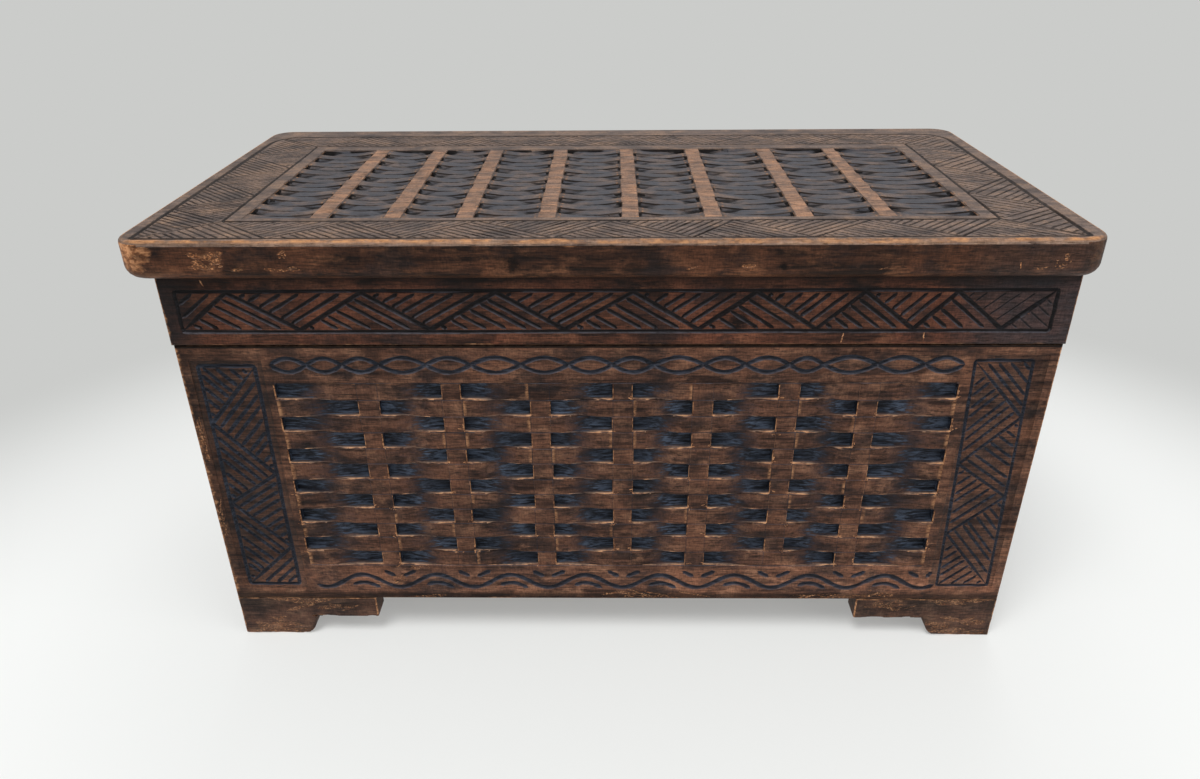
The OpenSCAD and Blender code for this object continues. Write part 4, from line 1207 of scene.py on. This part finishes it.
def footBlank(name, length, pad):
    # a stepped bracket from its tall end at x = 0, its face at y = 0
    piece = block(name, (0, 0, 0), (length, wallThick, footHigh.z))
    roundEdges(piece, footShape["soft"], 3,
               lambda a, b: a.y < past and b.y < past and min(a.z, b.z) < past)
    step = block("step", (pad, -past, -past), (length + past, wallThick + past, footStrip))
    roundEdges(step, footShape["cove"], 5, lambda a, b: a.x < pad + past and b.x < pad + past
               and min(a.z, b.z) > footStrip - past)
    # the pad's inner lower corner, worn round
    worn = footShape["heel"]
    heel = block("heel", (pad - worn, -past, -past), (pad + past, wallThick + past, worn))
    cutAway(heel, [rod("round", (pad - worn, wallThick / 2, worn), 2 * wallThick, worn,
                       (math.pi / 2, 0, 0), 40)])
    return cutAway(piece, [step, heel])


def makeFoot(name, node, kind, sx, sy, seed):
    long = kind == "long"
    length, pad = footShape["endLong"], footShape["endPad"]
    if long:
        length, pad = footShape["long"], footShape["pad"]["left" if sx > 0 else "right"]
    piece = footBlank(name, length, pad)
    size, bite = footShape["flake"], footShape["bite"]
    edges = (((0, bite, bite), (pad, bite, bite)), ((pad, bite, footStrip), (length, bite, footStrip)),
             ((0, 0, 0), (0, 0, footHigh.z)), ((pad, 0, 0), (pad, wallThick, 0)))
    flakes = []
    for i, ((start, end), count) in enumerate(zip(edges, footFlakes[kind])):
        flakes += chips(start, end, count, size, seed + i)
    cutAway(piece, flakes, "flake")
    cutAway(piece, scarCutters(footScars[kind], seed), "scar")
    if long:
        place = Matrix.Translation((-halfWidth, -halfDepth, 0))
    else:
        place = Matrix.Translation((-halfWidth, wallThick - halfDepth, 0)) @ Matrix(
            ((0, 1, 0, 0), (1, 0, 0, 0), (0, 0, 1, 0), (0, 0, 0, 1)))
    piece.data.transform(Matrix.Translation((bodyMiddle, 0, 0)) @ Matrix.Diagonal((sx, sy, 1, 1)) @ place)
    closeUp(piece)
    cutAway(piece, holesOf("foot_dowels"))
    inside = (lambda centre, normal: int(normal.y * sy > facingCosine)) if long \
        else (lambda centre, normal: int(normal.x * sx > facingCosine))
    dress(piece, (footWood["front" if long else "left"], bareWood), inside)
    finish(piece, [node], "foot_wood", "trunk")


for sx, across in ((1, "left"), (-1, "right")):
    for sy, along in ((1, "front"), (-1, "back")):
        seed = 101 + 20 * (sx + 1) + 7 * (sy + 1)
        makeFoot(f"{along}{across.title()}Foot", f"{along}_{across}_bracket", "long", sx, sy, seed)
        makeFoot(f"{across}{along.title()}Foot", f"{across}_{along}_bracket", "end", sx, sy, seed + 5)

# Screws, pegs, dowels, hinges and the plain inner boards

# slots as shares of the head's width and of its sink; the point narrows to a share of the shank
screwLook = {"sides": 24, "slotWide": 0.22, "slotDeep": 0.5, "point": 0.3, "pointLong": 2 * mm,
             "brassShank": 2.4 * mm, "steelShank": 4 * mm}


def partsOf(node):
    # lowest and highest corner of each separate solid of a node
    group = solidsOf(node, 0)
    pickOnly(group)
    bpy.ops.mesh.separate(type="LOOSE")
    parts = list(bpy.context.selected_objects)
    boxes = []
    for part in parts:
        xs, ys, zs = zip(*(point.co for point in part.data.vertices))
        boxes.append((Vector((min(xs), min(ys), min(zs))), Vector((max(xs), max(ys), max(zs)))))
    discard(parts)
    return boxes


def makeScrews(name, node, body, headUp, shank, metal, slot):
    # slotted countersunk screws: one is shaped and copied to each place
    boxes = partsOf(node)
    low, high = boxes[0]
    head, length = high.x - low.x, high.z - low.z
    sink = (head - shank) / 2
    tip = screwLook["pointLong"]
    master = rod("screw", (0, 0, sink + (length - sink) / 2), length - sink, shank / 2,
                 sides=screwLook["sides"])
    for end, grow, move in ((sink, head / shank, -sink), (length, screwLook["point"], 0)):
        selectOnly(master, "FACE",
                   lambda face: abs(face.center.z - end) < hair and abs(face.normal.z) > facingCosine)
        if not move:
            bpy.ops.transform.translate(value=(0, 0, -tip))
        bpy.ops.mesh.extrude_region_move(TRANSFORM_OT_translate={"value": (0, 0, move or tip)})
        bpy.ops.transform.resize(value=(grow, grow, 1))
        bpy.ops.object.mode_set(mode="OBJECT")
    closeUp(master)
    wide = head * screwLook["slotWide"] / 2
    cutAway(master, [block("slot", (-head, -wide, -past), (head, wide, sink * screwLook["slotDeep"]))])
    copies = []
    for low, high in boxes:
        middle = (low + high) / 2
        spin = Matrix.Rotation(random.uniform(0, math.pi), 4, "Z")
        if headUp:
            place = Matrix.Translation((middle.x, middle.y, high.z)) @ Matrix.Diagonal((1, 1, -1, 1)) @ spin
        else:
            place = Matrix.Translation((middle.x, middle.y, low.z)) @ spin
        copies.append(copyOf(master, place))
    discard([master])
    bpy.ops.object.select_all(action="DESELECT")
    for piece in copies:
        piece.select_set(True)
    bpy.context.view_layer.objects.active = copies[0]
    bpy.ops.object.join()
    piece = bpy.context.object
    piece.name = name
    closeUp(piece)
    dress(piece, (metal,), lambda centre, normal: 0)
    finish(piece, [node], slot, body)


brassShank, steelShank = screwLook["brassShank"], screwLook["steelShank"]
makeScrews("hingeBodyScrews", "hinge_body_screws", "trunk", True, brassShank, oldBrass, "hinge_brass")
makeScrews("hingeLidScrews", "hinge_lid_screws", "lid", False, brassShank, oldBrass, "hinge_brass")
makeScrews("footScrews", "foot_screws", "trunk", False, steelShank, dullSteel, "steel_screw")

# nodes that keep their own solids and only take a finish
keptNodes = (
    (bareWood, ["bottom_board", "front_left_block", "front_right_block", "back_left_block",
                "back_right_block"]),
    (pegGrain, ["corner_pegs", "foot_dowels", "lid_pegs", "lid_dowels"]),
    (oldBrass, [hand + part for hand in ("left", "right")
                for part in ("_hinge_body_leaf", "_hinge_lid_leaf", "_hinge_pin")]),
)
for kept, names in keptNodes:
    for name in names:
        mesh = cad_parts[name].data
        mesh.materials.clear()
        mesh.materials.append(kept)
print("hinges, pegs and inner boards finished")

# Floor, light and camera

stageLook = {"size": 14, "cloth": "#eeefed", "wall": "#cbccca", "middle": (0.03, -0.2, 0),
             "from": 0.38, "to": 0.68, "soft": 0.35}
# place, width and power of each lamp; the glow is the light of the whole room
lampLook = {"key": ((-0.45, -0.95, 2.05), 0.9, 31), "fill": ((1.3, -0.9, 1.2), 1.4, 8),
            "back": ((0.2, 1.3, 2.2), 1.4, 12)}
lampTarget = Vector((0, 0, 0.12))
glowLook = {"colour": "#f2f4f6", "strength": 0.5}
# the viewpoint worked out from the photograph's perspective, its turns in degrees
cameraLook = {"pitch": 28.03, "yaw": -0.995, "roll": -0.515, "lens": 26.77, "sensor": 36,
              "place": (bodyMiddle - 0.0007, -0.4965, 0.3687), "near": 0.02}


def makeFloor():
    # matt paper, pale near the trunk; further off the camera sees the plain grey of a wall, and its shadow
    # only in part
    bpy.ops.mesh.primitive_plane_add(size=stageLook["size"])
    floor = bpy.context.object
    floor.name = "floor"
    material, add = newMaterial("uncoatedPaper")
    away = add("VectorMath", add("TexCoord").outputs["Object"], stageLook["middle"], operation="DISTANCE")
    far = add("MapRange", away.outputs["Value"], stageLook["from"], stageLook["to"],
              interpolation_type="SMOOTHSTEP")
    paper = add("BsdfPrincipled", {"Roughness": 0.9, "Base Color": colour(stageLook["cloth"])})
    plain = add("Emission", add("MixRGB", far, colour(stageLook["cloth"]), colour(stageLook["wall"])))
    path = add("LightPath").outputs
    seen = add("Math", path["Is Camera Ray"], path["Is Glossy Ray"], operation="MAXIMUM")
    seen = add("Math", seen, path["Is Transmission Ray"], operation="MAXIMUM")
    share = add("MapRange", far, 0, 1, stageLook["soft"])
    share = add("Math", share, seen, operation="MULTIPLY")
    add("OutputMaterial", add("MixShader", share, paper, plain))
    floor.data.materials.append(material)


def makeLights():
    world = bpy.data.worlds.new("softRoom")
    world.use_nodes = True
    world.node_tree.nodes.clear()
    add = partial(addNode, world.node_tree)
    add("OutputWorld", add("Background", colour(glowLook["colour"]), glowLook["strength"]))
    bpy.context.scene.world = world
    for name, (place, size, power) in lampLook.items():
        data = bpy.data.lights.new(name, "AREA")
        data.size = size
        data.energy = power
        lamp = bpy.data.objects.new(name, data)
        lamp.location = place
        lamp.rotation_mode = "QUATERNION"
        lamp.rotation_quaternion = (lampTarget - Vector(place)).to_track_quat("-Z", "Y")
        bpy.context.scene.collection.objects.link(lamp)


def makeCamera():
    pitch, yaw, roll = (math.radians(cameraLook[turn]) for turn in ("pitch", "yaw", "roll"))
    data = bpy.data.cameras.new("camera")
    data.sensor_width = cameraLook["sensor"]
    data.lens = cameraLook["lens"]
    data.clip_start = cameraLook["near"]
    camera = bpy.data.objects.new("camera", data)
    turn = (Matrix.Rotation(-yaw, 4, "Z") @ Matrix.Rotation(math.pi / 2 - pitch, 4, "X")
            @ Matrix.Rotation(roll, 4, "Z"))
    camera.matrix_world = Matrix.Translation(cameraLook["place"]) @ turn
    bpy.context.scene.collection.objects.link(camera)
    bpy.context.scene.camera = camera


makeFloor()
makeLights()
makeCamera()
bpy.context.scene.view_settings.view_transform = "Standard"
print("stage set")
